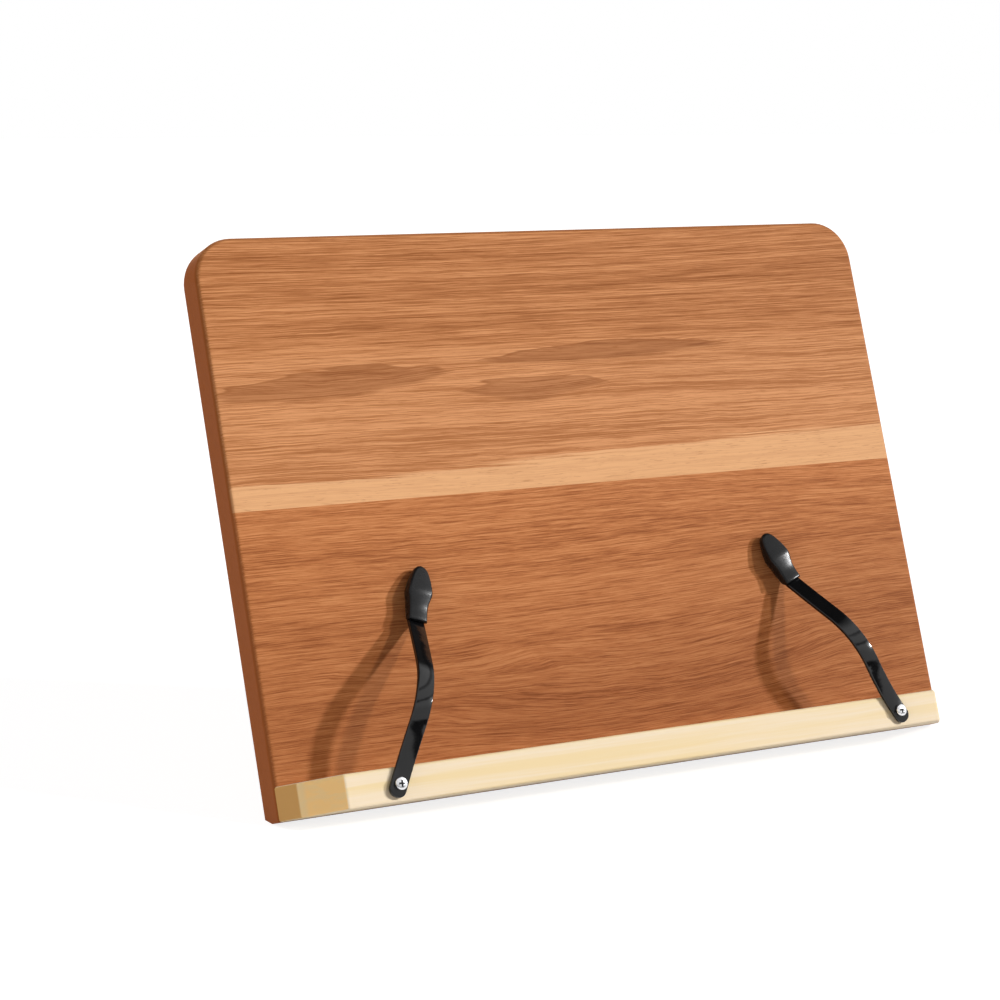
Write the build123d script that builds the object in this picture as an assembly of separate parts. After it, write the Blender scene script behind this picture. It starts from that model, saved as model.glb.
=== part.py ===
from build123d import *
import math
import os

# Leaning reading stand: a wooden board with a page ledge, two sprung page arms and a folding rear leg.
# Millimetres. X runs across the board, Y runs from front to back, Z is up.
# The origin is the middle of the flat foot that the board stands on.

# Board
BOARD_WIDTH = 390.0
BOARD_HEIGHT = 280.0
BOARD_THICKNESS = 18.0
BOARD_LEAN = 19.25
TOP_CORNER_RADIUS = 21.0
BOARD_EDGE_ROUND = 2.4
GLUE_LINE_HEIGHT = 146.0
FOOT_BEVEL_START = 8.6

# Dowels in the glue line
STAVE_DOWEL_RADIUS = 4.0
STAVE_DOWEL_LENGTH = 40.0
STAVE_DOWEL_SPACING = 120.0
STAVE_DOWEL_COUNT = 3

# Page ledge
LEDGE_DEPTH = 28.5
LEDGE_HEIGHT = 16.4
LEDGE_END_TAPER = 22.5
LEDGE_CORNER_ROUND = 2.0
LEDGE_EDGE_ROUND = 1.2
LEDGE_SCREW_INSET = 23.0
LEDGE_SCREW_SPREAD = 124.0
LEDGE_SCREW_RADIUS = 2.0
LEDGE_SCREW_HEAD_RADIUS = 4.0
LEDGE_SCREW_LENGTH = 36.0

# Page arms: sprung strips, each turning on one screw in the ledge's front face
ARM_SCREW_INSET = 49.0
LEFT_ARM_ANGLE = 22.8
RIGHT_ARM_ANGLE = -24.0
STRIP_WIDTH = 8.6
STRIP_THICKNESS = 2.0
STRIP_TAIL = 6.5
STRIP_TAIL_ROUND = 3.9
STRIP_BOW = 2.25
STRIP_BOW_LENGTH = 108.0
FLAT_LENGTH = 8.0
KICK_RADIUS = 30.0
KICK_ANGLE = 9.3
KICK_LENGTH = 18.0
CREST_RADIUS = 38.0
FALL_ANGLE = 38.4
FALL_LENGTH = 30.4
TIP_RADIUS = 9.0
TIP_ANGLE = 1.5
TIP_LENGTH = 15.0
FLEX_LINE = 9.0
FLEX_GAP = 0.3
ARM_SEAT_GAP = 0.3
ARM_PIVOT_CLEARANCE = 0.05
ARM_SCREW_RADIUS = 2.0
ARM_SCREW_LENGTH = 20.0
ARM_SCREW_HEAD_RADIUS = 3.0
ARM_SCREW_HEAD_HEIGHT = 2.0

# Rubber caps on the arm tips, measured along the arm from its screw
CAP_START = 83.6
CAP_NECK_END = 91.0
CAP_SHOULDER = 98.0
CAP_END = 112.0
CAP_NECK_WIDTH = 10.4
CAP_WIDTH = 13.4
CAP_SIDE_BULGE = 0.5
CAP_TIP_HALF = 3.6
CAP_TIP_DEPTH = 0.75
CAP_BOARD_GAP = 0.6
CAP_THICKNESS = 8.0
CAP_WALL = 2.2
CAP_CREST_RUN = 2.0
CAP_NOSE_LIFT = 0.3
CAP_NOSE_SHARE = 0.55
CAP_NECK_SLANT_SHARE = 0.55

# Hinge batten, and the axis that the rear leg turns on
HINGE_AXIS_HEIGHT = 195.0
BATTEN_WIDTH = 190.0
BATTEN_BELOW_AXIS = 5.0
BATTEN_ABOVE_AXIS = 27.0
BATTEN_THICKNESS = 5.6
BATTEN_EDGE_ROUND = 1.5
BATTEN_SCREW_INSET = 11.0

# Butt hinges
HINGE_SPREAD = 104.0
HINGE_WIDTH = 40.0
LEAF_LENGTH = 22.0
LEAF_THICKNESS = 1.5
LEAF_CORNER_RADIUS = 3.0
KNUCKLE_RADIUS = 3.2
KNUCKLE_GAP = 0.3
PIN_RADIUS = 1.5
PIN_CLEARANCE = 0.05
LEAF_CLEAR_OF_KNUCKLE = 0.6
LEAF_SCREW_SPREAD = 24.0
LEAF_SCREW_NEAR = 9.0
LEAF_SCREW_FAR = 16.0

# Wood screws in the rear hardware
WOOD_SCREW_RADIUS = 1.6
WOOD_SCREW_HEAD_RADIUS = 2.9
LEG_LEAF_SCREW_LENGTH = 10.0
BOARD_LEAF_SCREW_LENGTH = 16.0
RAIL_SCREW_LENGTH = 13.0
BATTEN_SCREW_LENGTH = 18.0
PAN_HEAD_HEIGHT = 1.9
PAN_HEAD_ROUND_SHARE = 0.55

# Rear leg
LEG_WIDTH = 160.0
LEG_THICKNESS = 12.0
LEG_SPLAY = 20.0
LEG_TOP_GAP = 2.0
LEG_CORNER_RADIUS = 12.0
LEG_EDGE_ROUND = 1.6
FOOT_PAD_THICKNESS = 3.0
FOOT_PAD_WIDTH = 34.0
FOOT_PAD_SPACING = 108.0
FOOT_PAD_INSET = 1.0

# Slotted stay between the leg and the board
STAY_PIVOT_DROP = 86.0
STAY_PIVOT_RADIUS = 2.0
STAY_PIVOT_CLEARANCE = 0.05
STAY_PIVOT_HEAD_RADIUS = 3.0
STAY_PIVOT_SCREW_DEPTH = 14.0
STAY_SPACER_RADIUS = 4.5
STAY_SPACER_LENGTH = 4.3
STAY_SIDE_GAP = 0.3
LINK_WIDTH = 12.0
LINK_THICKNESS = 2.0
LEG_OPENS_FURTHER = 14.0

# Slotted rail on the back of the board
RAIL_THICKNESS = 1.5
RAIL_FOOT_WIDTH = 18.0
RAIL_ABOVE_SLOT = 5.2
RAIL_CORNER_SHARE = 0.9
RAIL_END_MARGIN = 9.0
RAIL_SIDE_GAP = 0.4
RAIL_SCREW_COUNT = 3
RAIL_SCREW_INSET = 6.0

# Clamp bolt, washer and thumb nut
BOLT_RADIUS = 2.5
SLOT_CLEARANCE = 0.05
BOLT_HEAD_RADIUS = 4.0
BOLT_HEAD_HEIGHT = 2.6
BOLT_HEAD_ROUND_SHARE = 0.5
BOLT_END_CHAMFER_SHARE = 0.2
BOLT_PAST_NUT = 1.8
WASHER_RADIUS = 5.5
WASHER_THICKNESS = 1.0
NUT_RADIUS = 7.4
NUT_LENGTH = 10.0
NUT_GAP = 0.3
NUT_CLEARANCE = 0.05
NUT_FLUTE_RADIUS = 0.7
NUT_FLUTE_COUNT = 20

# Cross recesses in the screw heads
RECESS_WIDTH = 0.9
RECESS_DEPTH = 0.9
RECESS_SPAN = 0.5

# Room given to cutting blocks
REACH = 600.0
CUT_MARGIN = 1.0

# Worked out from the sizes above
LEAN = math.radians(BOARD_LEAN)
SPLAY = math.radians(LEG_SPLAY)
FOOT_RISE = (BOARD_THICKNESS - FOOT_BEVEL_START) * math.tan(LEAN)
FOOT_FRONT = FOOT_BEVEL_START * math.cos(LEAN)
FOOT_BACK = BOARD_THICKNESS * math.cos(LEAN) + FOOT_RISE * math.sin(LEAN)
FOOT_MIDDLE = (FOOT_FRONT + FOOT_BACK) / 2
FOOT_DROP = FOOT_BEVEL_START * math.sin(LEAN)
AXIS_OFFSET = BATTEN_THICKNESS + KNUCKLE_RADIUS
AXIS_DEPTH = BOARD_THICKNESS + AXIS_OFFSET
LEG_FRONT = KNUCKLE_RADIUS
LEG_BACK = LEG_FRONT + LEG_THICKNESS
LEG_MIDDLE = (LEG_FRONT + LEG_BACK) / 2
LINK_LENGTH = math.hypot(STAY_PIVOT_DROP, LEG_MIDDLE)
PIVOT_LEAD = math.atan2(LEG_MIDDLE, STAY_PIVOT_DROP)
STAY_REST_ANGLE = LEAN + SPLAY + PIVOT_LEAD
SLOT_FOLDED = 2 * LINK_LENGTH * math.cos(PIVOT_LEAD)
SLOT_REST = 2 * LINK_LENGTH * math.cos(STAY_REST_ANGLE)
SLOT_OPEN = 2 * LINK_LENGTH * math.cos(STAY_REST_ANGLE + math.radians(LEG_OPENS_FURTHER))
SLOT_WIDTH = 2 * (BOLT_RADIUS + SLOT_CLEARANCE)

LINK_X = LEG_WIDTH / 2 + STAY_SPACER_LENGTH + STAY_SIDE_GAP
RAIL_X = LINK_X + LINK_THICKNESS + RAIL_SIDE_GAP
WASHER_X = RAIL_X + RAIL_THICKNESS + RAIL_SIDE_GAP
NUT_X = WASHER_X + WASHER_THICKNESS + NUT_GAP
ARM_SCREW_HEIGHT = LEDGE_HEIGHT / 2
STRIP_BACK = LEDGE_DEPTH + ARM_SEAT_GAP
STRIP_MIDDLE = STRIP_BACK + STRIP_THICKNESS / 2
STRIP_FRONT = STRIP_BACK + STRIP_THICKNESS


# Places
# Board pieces are drawn upright: X across, Y behind the board's front face, Z up the board.
# Leg pieces are drawn hanging from the hinge axis, and arm pieces standing on their screw.
board_place = Pos(0, -FOOT_MIDDLE, FOOT_DROP) * Rot(-BOARD_LEAN, 0, 0)
hinge_place = board_place * Pos(0, AXIS_DEPTH, HINGE_AXIS_HEIGHT)
leg_place = hinge_place * Rot(BOARD_LEAN + LEG_SPLAY, 0, 0)
pivot_place = leg_place * Pos(0, LEG_MIDDLE, -STAY_PIVOT_DROP)
stay_place = pivot_place * Rot(-math.degrees(STAY_REST_ANGLE + STAY_REST_ANGLE - PIVOT_LEAD), 0, 0)


def block(x0, x1, y0, y1, z0, z1):
    size = (x1 - x0, y1 - y0, z1 - z0)
    return Pos((x0 + x1) / 2, (y0 + y1) / 2, (z0 + z1) / 2) * Box(*size)


def rod_x(radius, x0, x1, y=0.0, z=0.0):
    return Pos((x0 + x1) / 2, y, z) * Rot(0, 90, 0) * Cylinder(radius, x1 - x0)


def aim(point, outward):
    """Place whose +Z points outward from the given point."""
    return Plane(origin=point, z_dir=outward)


def cross_recess(head_radius, top):
    span = 2 * head_radius * RECESS_SPAN
    bar = Box(span, RECESS_WIDTH, 2 * RECESS_DEPTH)
    return Pos(0, 0, top) * (bar + Rot(0, 0, 90) * bar)


def sunk_screw(radius, length, head_radius, recess=True):
    """Countersunk screw, its flat top at Z 0 and its shank down -Z."""
    depth = head_radius - radius
    head = Pos(0, 0, -depth / 2) * Cone(radius, head_radius, depth)
    shank = Pos(0, 0, -length / 2) * Cylinder(radius, length)
    screw = head + shank
    if recess:
        screw -= cross_recess(head_radius, 0)
    return screw


def pan_screw(radius, length, head_radius, head_height, recess=True):
    """Pan head screw, its head seated at Z 0 and its shank down -Z."""
    head = Pos(0, 0, head_height / 2) * Cylinder(head_radius, head_height)
    head = fillet(head.edges().group_by(Axis.Z)[-1], head_height * PAN_HEAD_ROUND_SHARE)
    screw = head + Pos(0, 0, -length / 2) * Cylinder(radius, length)
    if recess:
        screw -= cross_recess(head_radius, head_height)
    return screw


def group(solids):
    return Compound(children=list(solids))


# Board and ledge
def board_blank():
    half = BOARD_WIDTH / 2
    body = block(-half, half, 0, BOARD_THICKNESS, 0, BOARD_HEIGHT)
    corners = body.edges().filter_by(Axis.Y).group_by(Axis.Z)[-1]
    body = fillet(corners, TOP_CORNER_RADIUS)
    rims = body.faces().sort_by(Axis.Y)[0].edges() + body.faces().sort_by(Axis.Y)[-1].edges()
    rims = rims.filter_by(lambda e: e.center().Z > CUT_MARGIN)
    body = fillet(rims, BOARD_EDGE_ROUND)
    below = block(-REACH, REACH, -REACH, REACH, -REACH, 0)
    return body - Pos(0, FOOT_BEVEL_START, 0) * Rot(BOARD_LEAN, 0, 0) * below


def stave_dowels():
    middle = (STAVE_DOWEL_COUNT - 1) / 2
    for i in range(STAVE_DOWEL_COUNT):
        place = Pos((i - middle) * STAVE_DOWEL_SPACING, BOARD_THICKNESS / 2, GLUE_LINE_HEIGHT)
        yield place * Cylinder(STAVE_DOWEL_RADIUS, STAVE_DOWEL_LENGTH)


def page_ledge():
    """Ledge with flat slanting ends, narrower at the front than at the board."""
    back = BOARD_WIDTH / 2
    front = back - LEDGE_END_TAPER
    plan = [(-back, 0, 0), (back, 0, 0), (front, -LEDGE_DEPTH, 0), (-front, -LEDGE_DEPTH, 0)]
    outline = make_face(Polyline(*plan, close=True).edges())
    ledge = extrude(outline, amount=LEDGE_HEIGHT, dir=(0, 0, 1))
    corners = ledge.edges().filter_by(Axis.Z).group_by(Axis.Y)[0]
    ledge = fillet(corners, LEDGE_CORNER_ROUND)
    rims = ledge.faces().sort_by(Axis.Z)[-1].edges() + ledge.faces().sort_by(Axis.Z)[0].edges()
    return fillet(rims.filter_by(lambda e: e.center().Y < -LEDGE_EDGE_ROUND), LEDGE_EDGE_ROUND)


def ledge_screws(recess=True):
    outer = BOARD_WIDTH / 2 - LEDGE_SCREW_INSET
    inner = LEDGE_SCREW_SPREAD / 2
    for x in (-outer, -inner, inner, outer):
        place = aim((x, BOARD_THICKNESS, ARM_SCREW_HEIGHT), (0, 1, 0))
        yield place * sunk_screw(LEDGE_SCREW_RADIUS, LEDGE_SCREW_LENGTH, LEDGE_SCREW_HEAD_RADIUS, recess)


def arm_screw(side, recess=True):
    """Pivot screw of one arm; side is -1 for the left arm and 1 for the right."""
    x = side * (BOARD_WIDTH / 2 - ARM_SCREW_INSET)
    place = aim((x, -STRIP_FRONT - ARM_SEAT_GAP, ARM_SCREW_HEIGHT), (0, -1, 0))
    return place * pan_screw(ARM_SCREW_RADIUS, ARM_SCREW_LENGTH, ARM_SCREW_HEAD_RADIUS,
                             ARM_SCREW_HEAD_HEIGHT, recess)


# Hinges
def knuckle(x0, x1):
    return rod_x(KNUCKLE_RADIUS, x0, x1) - rod_x(PIN_RADIUS + PIN_CLEARANCE, x0, x1)


def leaf_plate(x0, x1, y0, z0, z1):
    return block(x0, x1, y0, y0 + LEAF_THICKNESS, z0, z1)


def knuckle_spans():
    """Three knuckles along a hinge, as (start, end, is_middle)."""
    length = (HINGE_WIDTH - 2 * KNUCKLE_GAP) / 3
    for i in range(3):
        start = -HINGE_WIDTH / 2 + i * (length + KNUCKLE_GAP)
        yield start, start + length, i == 1


def hinge_leaf(on_leg):
    """One leaf about the hinge axis: the board's leaf rises from it, the leg's leaf hangs from it."""
    y0 = KNUCKLE_RADIUS - LEAF_THICKNESS if on_leg else -KNUCKLE_RADIUS
    rise = -1 if on_leg else 1
    near = rise * (KNUCKLE_RADIUS + LEAF_CLEAR_OF_KNUCKLE)
    far = rise * (KNUCKLE_RADIUS + LEAF_LENGTH)
    plate = leaf_plate(-HINGE_WIDTH / 2, HINGE_WIDTH / 2, y0, min(near, far), max(near, far))
    outer = plate.edges().filter_by(Axis.Y).group_by(Axis.Z)[0 if on_leg else -1]
    leaf = fillet(outer, LEAF_CORNER_RADIUS)
    bore = rod_x(PIN_RADIUS + PIN_CLEARANCE, -HINGE_WIDTH, HINGE_WIDTH)
    for x0, x1, is_middle in knuckle_spans():
        if is_middle == on_leg:
            leaf += leaf_plate(x0, x1, y0, min(0, near), max(0, near))
            leaf += knuckle(x0, x1)
    return leaf - bore


def leaf_screw_spots():
    """Three screws in each leaf: two near the knuckles and one further out."""
    half = LEAF_SCREW_SPREAD / 2
    for x, out in ((-half, LEAF_SCREW_NEAR), (half, LEAF_SCREW_NEAR), (0, LEAF_SCREW_FAR)):
        yield x, KNUCKLE_RADIUS + out


def leaf_screws(on_leg, recess=True):
    y = KNUCKLE_RADIUS - LEAF_THICKNESS if on_leg else LEAF_THICKNESS - KNUCKLE_RADIUS
    outward = (0, -1, 0) if on_leg else (0, 1, 0)
    length = LEG_LEAF_SCREW_LENGTH if on_leg else BOARD_LEAF_SCREW_LENGTH
    for x, out in leaf_screw_spots():
        place = aim((x, y, -out if on_leg else out), outward)
        yield place * sunk_screw(WOOD_SCREW_RADIUS, length, WOOD_SCREW_HEAD_RADIUS, recess)


def both_hinges(shapes):
    shapes = list(shapes)
    for side in (-1, 1):
        for shape in shapes:
            yield Pos(side * HINGE_SPREAD / 2, 0, 0) * shape


# Batten and rail, drawn on the upright board
def hinge_batten():
    z0 = HINGE_AXIS_HEIGHT - BATTEN_BELOW_AXIS
    z1 = HINGE_AXIS_HEIGHT + BATTEN_ABOVE_AXIS
    y1 = BOARD_THICKNESS + BATTEN_THICKNESS
    batten = block(-BATTEN_WIDTH / 2, BATTEN_WIDTH / 2, BOARD_THICKNESS, y1, z0, z1)
    return fillet(batten.faces().sort_by(Axis.Y)[-1].edges(), BATTEN_EDGE_ROUND)


def batten_screws(recess=True):
    z = HINGE_AXIS_HEIGHT + (BATTEN_ABOVE_AXIS - BATTEN_BELOW_AXIS) / 2
    outer = BATTEN_WIDTH / 2 - BATTEN_SCREW_INSET
    for x in (-outer, 0, outer):
        place = aim((x, BOARD_THICKNESS + BATTEN_THICKNESS, z), (0, 1, 0))
        yield place * sunk_screw(WOOD_SCREW_RADIUS, BATTEN_SCREW_LENGTH, WOOD_SCREW_HEAD_RADIUS, recess)


def rail_ends():
    top = HINGE_AXIS_HEIGHT - SLOT_OPEN + RAIL_END_MARGIN
    bottom = HINGE_AXIS_HEIGHT - SLOT_FOLDED - RAIL_END_MARGIN
    return bottom, top


def stay_rail():
    bottom, top = rail_ends()
    y0 = BOARD_THICKNESS
    crest = y0 + AXIS_OFFSET + RAIL_ABOVE_SLOT
    foot = block(RAIL_X + RAIL_THICKNESS - RAIL_FOOT_WIDTH, RAIL_X + RAIL_THICKNESS,
                 y0, y0 + RAIL_THICKNESS, bottom, top)
    wall = block(RAIL_X, RAIL_X + RAIL_THICKNESS, y0, crest, bottom, top)
    wall = fillet(wall.edges().filter_by(Axis.X).group_by(Axis.Y)[-1], RAIL_ABOVE_SLOT * RAIL_CORNER_SHARE)
    slot_y = y0 + AXIS_OFFSET
    low = HINGE_AXIS_HEIGHT - SLOT_FOLDED
    high = HINGE_AXIS_HEIGHT - SLOT_OPEN
    slot = block(RAIL_X - CUT_MARGIN, RAIL_X + RAIL_THICKNESS + CUT_MARGIN,
                 slot_y - SLOT_WIDTH / 2, slot_y + SLOT_WIDTH / 2, low, high)
    for z in (low, high):
        slot += rod_x(SLOT_WIDTH / 2, RAIL_X - CUT_MARGIN, RAIL_X + RAIL_THICKNESS + CUT_MARGIN, slot_y, z)
    return foot + (wall - slot)


def rail_screws(recess=True):
    bottom, top = rail_ends()
    x = RAIL_X + RAIL_THICKNESS - RAIL_FOOT_WIDTH + RAIL_SCREW_INSET
    step = (top - bottom - 4 * RAIL_SCREW_INSET) / (RAIL_SCREW_COUNT - 1)
    for i in range(RAIL_SCREW_COUNT):
        z = bottom + 2 * RAIL_SCREW_INSET + i * step
        place = aim((x, BOARD_THICKNESS + RAIL_THICKNESS, z), (0, 1, 0))
        yield place * pan_screw(WOOD_SCREW_RADIUS, RAIL_SCREW_LENGTH, WOOD_SCREW_HEAD_RADIUS,
                                PAN_HEAD_HEIGHT, recess)


# Rear leg, drawn hanging from the hinge axis
def above_table(shape, low, high=REACH):
    """Keep what lies between two heights above the table, with the leg at rest."""
    return shape & block(-REACH, REACH, -REACH, REACH, low, high)


def rear_leg():
    leg = block(-LEG_WIDTH / 2, LEG_WIDTH / 2, LEG_FRONT, LEG_BACK, -REACH / 2, -LEG_TOP_GAP)
    top = leg.edges().filter_by(Axis.Y).group_by(Axis.Z)[-1]
    leg = fillet(top, LEG_CORNER_RADIUS)
    rims = leg.faces().sort_by(Axis.Y)[-1].edges() + leg.faces().sort_by(Axis.Y)[0].edges()
    leg = fillet(rims.filter_by(lambda e: e.center().Z > CUT_MARGIN - REACH / 2), LEG_EDGE_ROUND)
    for screw in both_hinges(leaf_screws(True, recess=False)):
        leg -= screw
    leg -= Pos(0, LEG_MIDDLE, -STAY_PIVOT_DROP) * rod_x(
        STAY_PIVOT_RADIUS, LEG_WIDTH / 2 - STAY_PIVOT_SCREW_DEPTH, LEG_WIDTH)
    return above_table(leg_place * leg, FOOT_PAD_THICKNESS)


def foot_pads():
    for side in (-1, 1):
        x = side * FOOT_PAD_SPACING / 2
        pad = block(x - FOOT_PAD_WIDTH / 2, x + FOOT_PAD_WIDTH / 2,
                    LEG_FRONT + FOOT_PAD_INSET, LEG_BACK - FOOT_PAD_INSET, -REACH / 2, 0)
        yield above_table(leg_place * pad, 0, FOOT_PAD_THICKNESS)


# Stay: pivot parts are drawn about the pivot, the link hangs from it to the clamp bolt
def stay_pivot_screw():
    head_x = LINK_X + LINK_THICKNESS + STAY_SIDE_GAP
    shank = rod_x(STAY_PIVOT_RADIUS, LEG_WIDTH / 2 - STAY_PIVOT_SCREW_DEPTH, head_x)
    head = aim((head_x, 0, 0), (1, 0, 0)) * (
        Pos(0, 0, PAN_HEAD_HEIGHT / 2) * Cylinder(STAY_PIVOT_HEAD_RADIUS, PAN_HEAD_HEIGHT)
        - cross_recess(STAY_PIVOT_HEAD_RADIUS, PAN_HEAD_HEIGHT))
    return shank + head


def stay_spacer():
    x0 = LEG_WIDTH / 2
    return rod_x(STAY_SPACER_RADIUS, x0, x0 + STAY_SPACER_LENGTH) - rod_x(STAY_PIVOT_RADIUS, x0, LINK_X)


def stay_link():
    x1 = LINK_X + LINK_THICKNESS
    link = block(LINK_X, x1, -LINK_WIDTH / 2, LINK_WIDTH / 2, -LINK_LENGTH, 0)
    for z in (0, -LINK_LENGTH):
        link += rod_x(LINK_WIDTH / 2, LINK_X, x1, 0, z)
    link -= rod_x(STAY_PIVOT_RADIUS + STAY_PIVOT_CLEARANCE, LINK_X, x1)
    return link - rod_x(BOLT_RADIUS, LINK_X, x1, 0, -LINK_LENGTH)


def clamp_bolt():
    end = NUT_X + NUT_LENGTH + BOLT_PAST_NUT
    shank = rod_x(BOLT_RADIUS, LINK_X, end)
    shank = chamfer(shank.edges().group_by(Axis.X)[-1], BOLT_RADIUS * BOLT_END_CHAMFER_SHARE)
    head = rod_x(BOLT_HEAD_RADIUS, LINK_X - BOLT_HEAD_HEIGHT, LINK_X)
    head = fillet(head.edges().group_by(Axis.X)[0], BOLT_HEAD_HEIGHT * BOLT_HEAD_ROUND_SHARE)
    return Pos(0, 0, -LINK_LENGTH) * (shank + head)


def clamp_washer():
    ring = rod_x(WASHER_RADIUS, WASHER_X, WASHER_X + WASHER_THICKNESS)
    return Pos(0, 0, -LINK_LENGTH) * (ring - rod_x(BOLT_RADIUS, WASHER_X, WASHER_X + WASHER_THICKNESS))


def thumb_nut():
    nut = rod_x(NUT_RADIUS, NUT_X, NUT_X + NUT_LENGTH)
    nut = chamfer(nut.edges().filter_by(GeomType.CIRCLE), NUT_FLUTE_RADIUS)
    for i in range(NUT_FLUTE_COUNT):
        turn = 2 * math.pi * i / NUT_FLUTE_COUNT
        nut -= rod_x(NUT_FLUTE_RADIUS, NUT_X, NUT_X + NUT_LENGTH,
                     NUT_RADIUS * math.cos(turn), NUT_RADIUS * math.sin(turn))
    nut -= rod_x(BOLT_RADIUS + NUT_CLEARANCE, NUT_X, NUT_X + NUT_LENGTH)
    return Pos(0, 0, -LINK_LENGTH) * nut


# Page arms, drawn standing on their screw: Z along the arm, -Y away from the board, X across
def strip_path(offset):
    """Corners of the strip's side view, moved sideways by offset, as a list of lines and arcs."""
    steps = ((STRIP_TAIL + FLAT_LENGTH, 0, 0), (0, KICK_RADIUS, KICK_ANGLE), (KICK_LENGTH, 0, 0),
             (0, CREST_RADIUS, -FALL_ANGLE - KICK_ANGLE), (FALL_LENGTH, 0, 0),
             (0, TIP_RADIUS, FALL_ANGLE + TIP_ANGLE), (TIP_LENGTH, 0, 0))
    s, out, heading = -STRIP_TAIL, STRIP_MIDDLE, 0.0
    edges = []
    for length, radius, turn in steps:
        aside = (-math.sin(heading) * offset, math.cos(heading) * offset)
        start = (s + aside[0], out + aside[1])
        if length:
            s += length * math.cos(heading)
            out += length * math.sin(heading)
            end = (s + aside[0], out + aside[1])
            edges.append((start, None, end))
            continue
        bend = math.radians(turn)
        sense = 1 if bend > 0 else -1
        centre = (s - sense * radius * math.sin(heading), out + sense * radius * math.cos(heading))
        reach = radius - sense * offset
        points = []
        for share in (0.5, 1.0):
            h = heading + bend * share
            points.append((centre[0] + sense * reach * math.sin(h), centre[1] - sense * reach * math.cos(h)))
        edges.append((start, points[0], points[1]))
        heading += bend
        s = centre[0] + sense * radius * math.sin(heading)
        out = centre[1] - sense * radius * math.cos(heading)
    return edges


def strip_side():
    """Bent strip, wide enough to be cut to its outline."""
    curves = []
    ends = []
    for offset in (-STRIP_THICKNESS / 2, STRIP_THICKNESS / 2):
        edges = strip_path(offset)
        for start, middle, end in edges:
            if middle is None:
                curves.append(Line(flat_point(start), flat_point(end)))
            else:
                curves.append(ThreePointArc(flat_point(start), flat_point(middle), flat_point(end)))
        ends.append((edges[0][0], edges[-1][2]))
    for i in (0, 1):
        curves.append(Line(flat_point(ends[0][i]), flat_point(ends[1][i])))
    side = make_face((Curve() + curves).edges())
    return extrude(side, amount=2 * STRIP_WIDTH, dir=(1, 0, 0), both=True)


def flat_point(point):
    return (0, -point[1], point[0])


def bow_radius():
    half = STRIP_BOW_LENGTH / 2
    return (half * half + STRIP_BOW * STRIP_BOW) / (2 * STRIP_BOW)


def strip_outline():
    """Block with the strip's bowed outline, seen from the front."""
    radius = bow_radius()
    centre = Pos(STRIP_BOW - radius, 0, STRIP_BOW_LENGTH / 2) * Rot(90, 0, 0)
    band = centre * (Cylinder(radius + STRIP_WIDTH / 2, REACH) - Cylinder(radius - STRIP_WIDTH / 2, REACH))
    return band & block(-REACH, REACH, -REACH, REACH, -STRIP_TAIL, STRIP_BOW_LENGTH)


def whole_strip():
    strip = strip_side() & strip_outline()
    tail = strip.edges().filter_by(Axis.Y).group_by(Axis.Z)[0]
    strip = fillet(tail, STRIP_TAIL_ROUND)
    hole = aim((0, 0, 0), (0, 1, 0)) * Cylinder(ARM_SCREW_RADIUS + ARM_PIVOT_CLEARANCE, REACH)
    return strip - hole


def arm_base(strip):
    return strip & block(-REACH, REACH, -REACH, REACH, -REACH, FLEX_LINE - FLEX_GAP / 2)


def arm_spring(strip):
    return strip & block(-REACH, REACH, -REACH, REACH, FLEX_LINE + FLEX_GAP / 2, REACH)


def cap_outline():
    """Spade outline of a cap, seen from the front, about the bowed strip's line."""
    radius = bow_radius()
    middle = (CAP_START + CAP_END) / 2
    past = middle - STRIP_BOW_LENGTH / 2
    turn = math.degrees(math.asin(past / radius))
    aside = STRIP_BOW - radius * (1 - math.cos(math.radians(turn)))
    neck, wide = CAP_NECK_WIDTH / 2, CAP_WIDTH / 2
    tip_start = CAP_END - CAP_TIP_HALF * CAP_TIP_DEPTH
    curves = Line((neck, 0, CAP_START), (-neck, 0, CAP_START))
    for hand in (-1, 1):
        curves += Polyline((hand * neck, 0, CAP_START), (hand * neck, 0, CAP_NECK_END),
                           (hand * wide, 0, CAP_SHOULDER))
        bulge = (wide + CAP_TIP_HALF) / 2 + CAP_SIDE_BULGE
        side_middle = (hand * bulge, 0, (CAP_SHOULDER + tip_start) / 2)
        curves += ThreePointArc((hand * wide, 0, CAP_SHOULDER), side_middle,
                                (hand * CAP_TIP_HALF, 0, tip_start))
    curves += ThreePointArc((CAP_TIP_HALF, 0, tip_start), (0, 0, CAP_END), (-CAP_TIP_HALF, 0, tip_start))
    face = make_face(curves.edges())
    body = extrude(face, amount=REACH / 2, dir=(0, 1, 0), both=True)
    return Pos(aside, 0, middle) * Rot(0, -turn, 0) * Pos(0, 0, -middle) * body


def tip_cap(strip):
    low, high = CAP_BOARD_GAP, CAP_BOARD_GAP + CAP_THICKNESS
    neck_rise = (CAP_NECK_END - CAP_START) * math.tan(math.radians(FALL_ANGLE)) * CAP_NECK_SLANT_SHARE
    side = [(CAP_START, low + neck_rise), (CAP_NECK_END, low), (CAP_END, low + CAP_NOSE_LIFT),
            (CAP_END, low + CAP_THICKNESS * CAP_NOSE_SHARE), (CAP_SHOULDER + CAP_CREST_RUN, high),
            (CAP_NECK_END, high), (CAP_START, low + neck_rise + 2 * CAP_WALL + STRIP_THICKNESS)]
    profile = make_face(Polyline(*[flat_point(p) for p in side], close=True).edges())
    slab = extrude(profile, amount=CAP_WIDTH, dir=(1, 0, 0), both=True)
    cap = slab & cap_outline()
    return cap - strip


def arm_place(side):
    angle = LEFT_ARM_ANGLE if side < 0 else RIGHT_ARM_ANGLE
    x = side * (BOARD_WIDTH / 2 - ARM_SCREW_INSET)
    return board_place * Pos(x, 0, ARM_SCREW_HEIGHT) * Rot(0, angle, 0)


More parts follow.
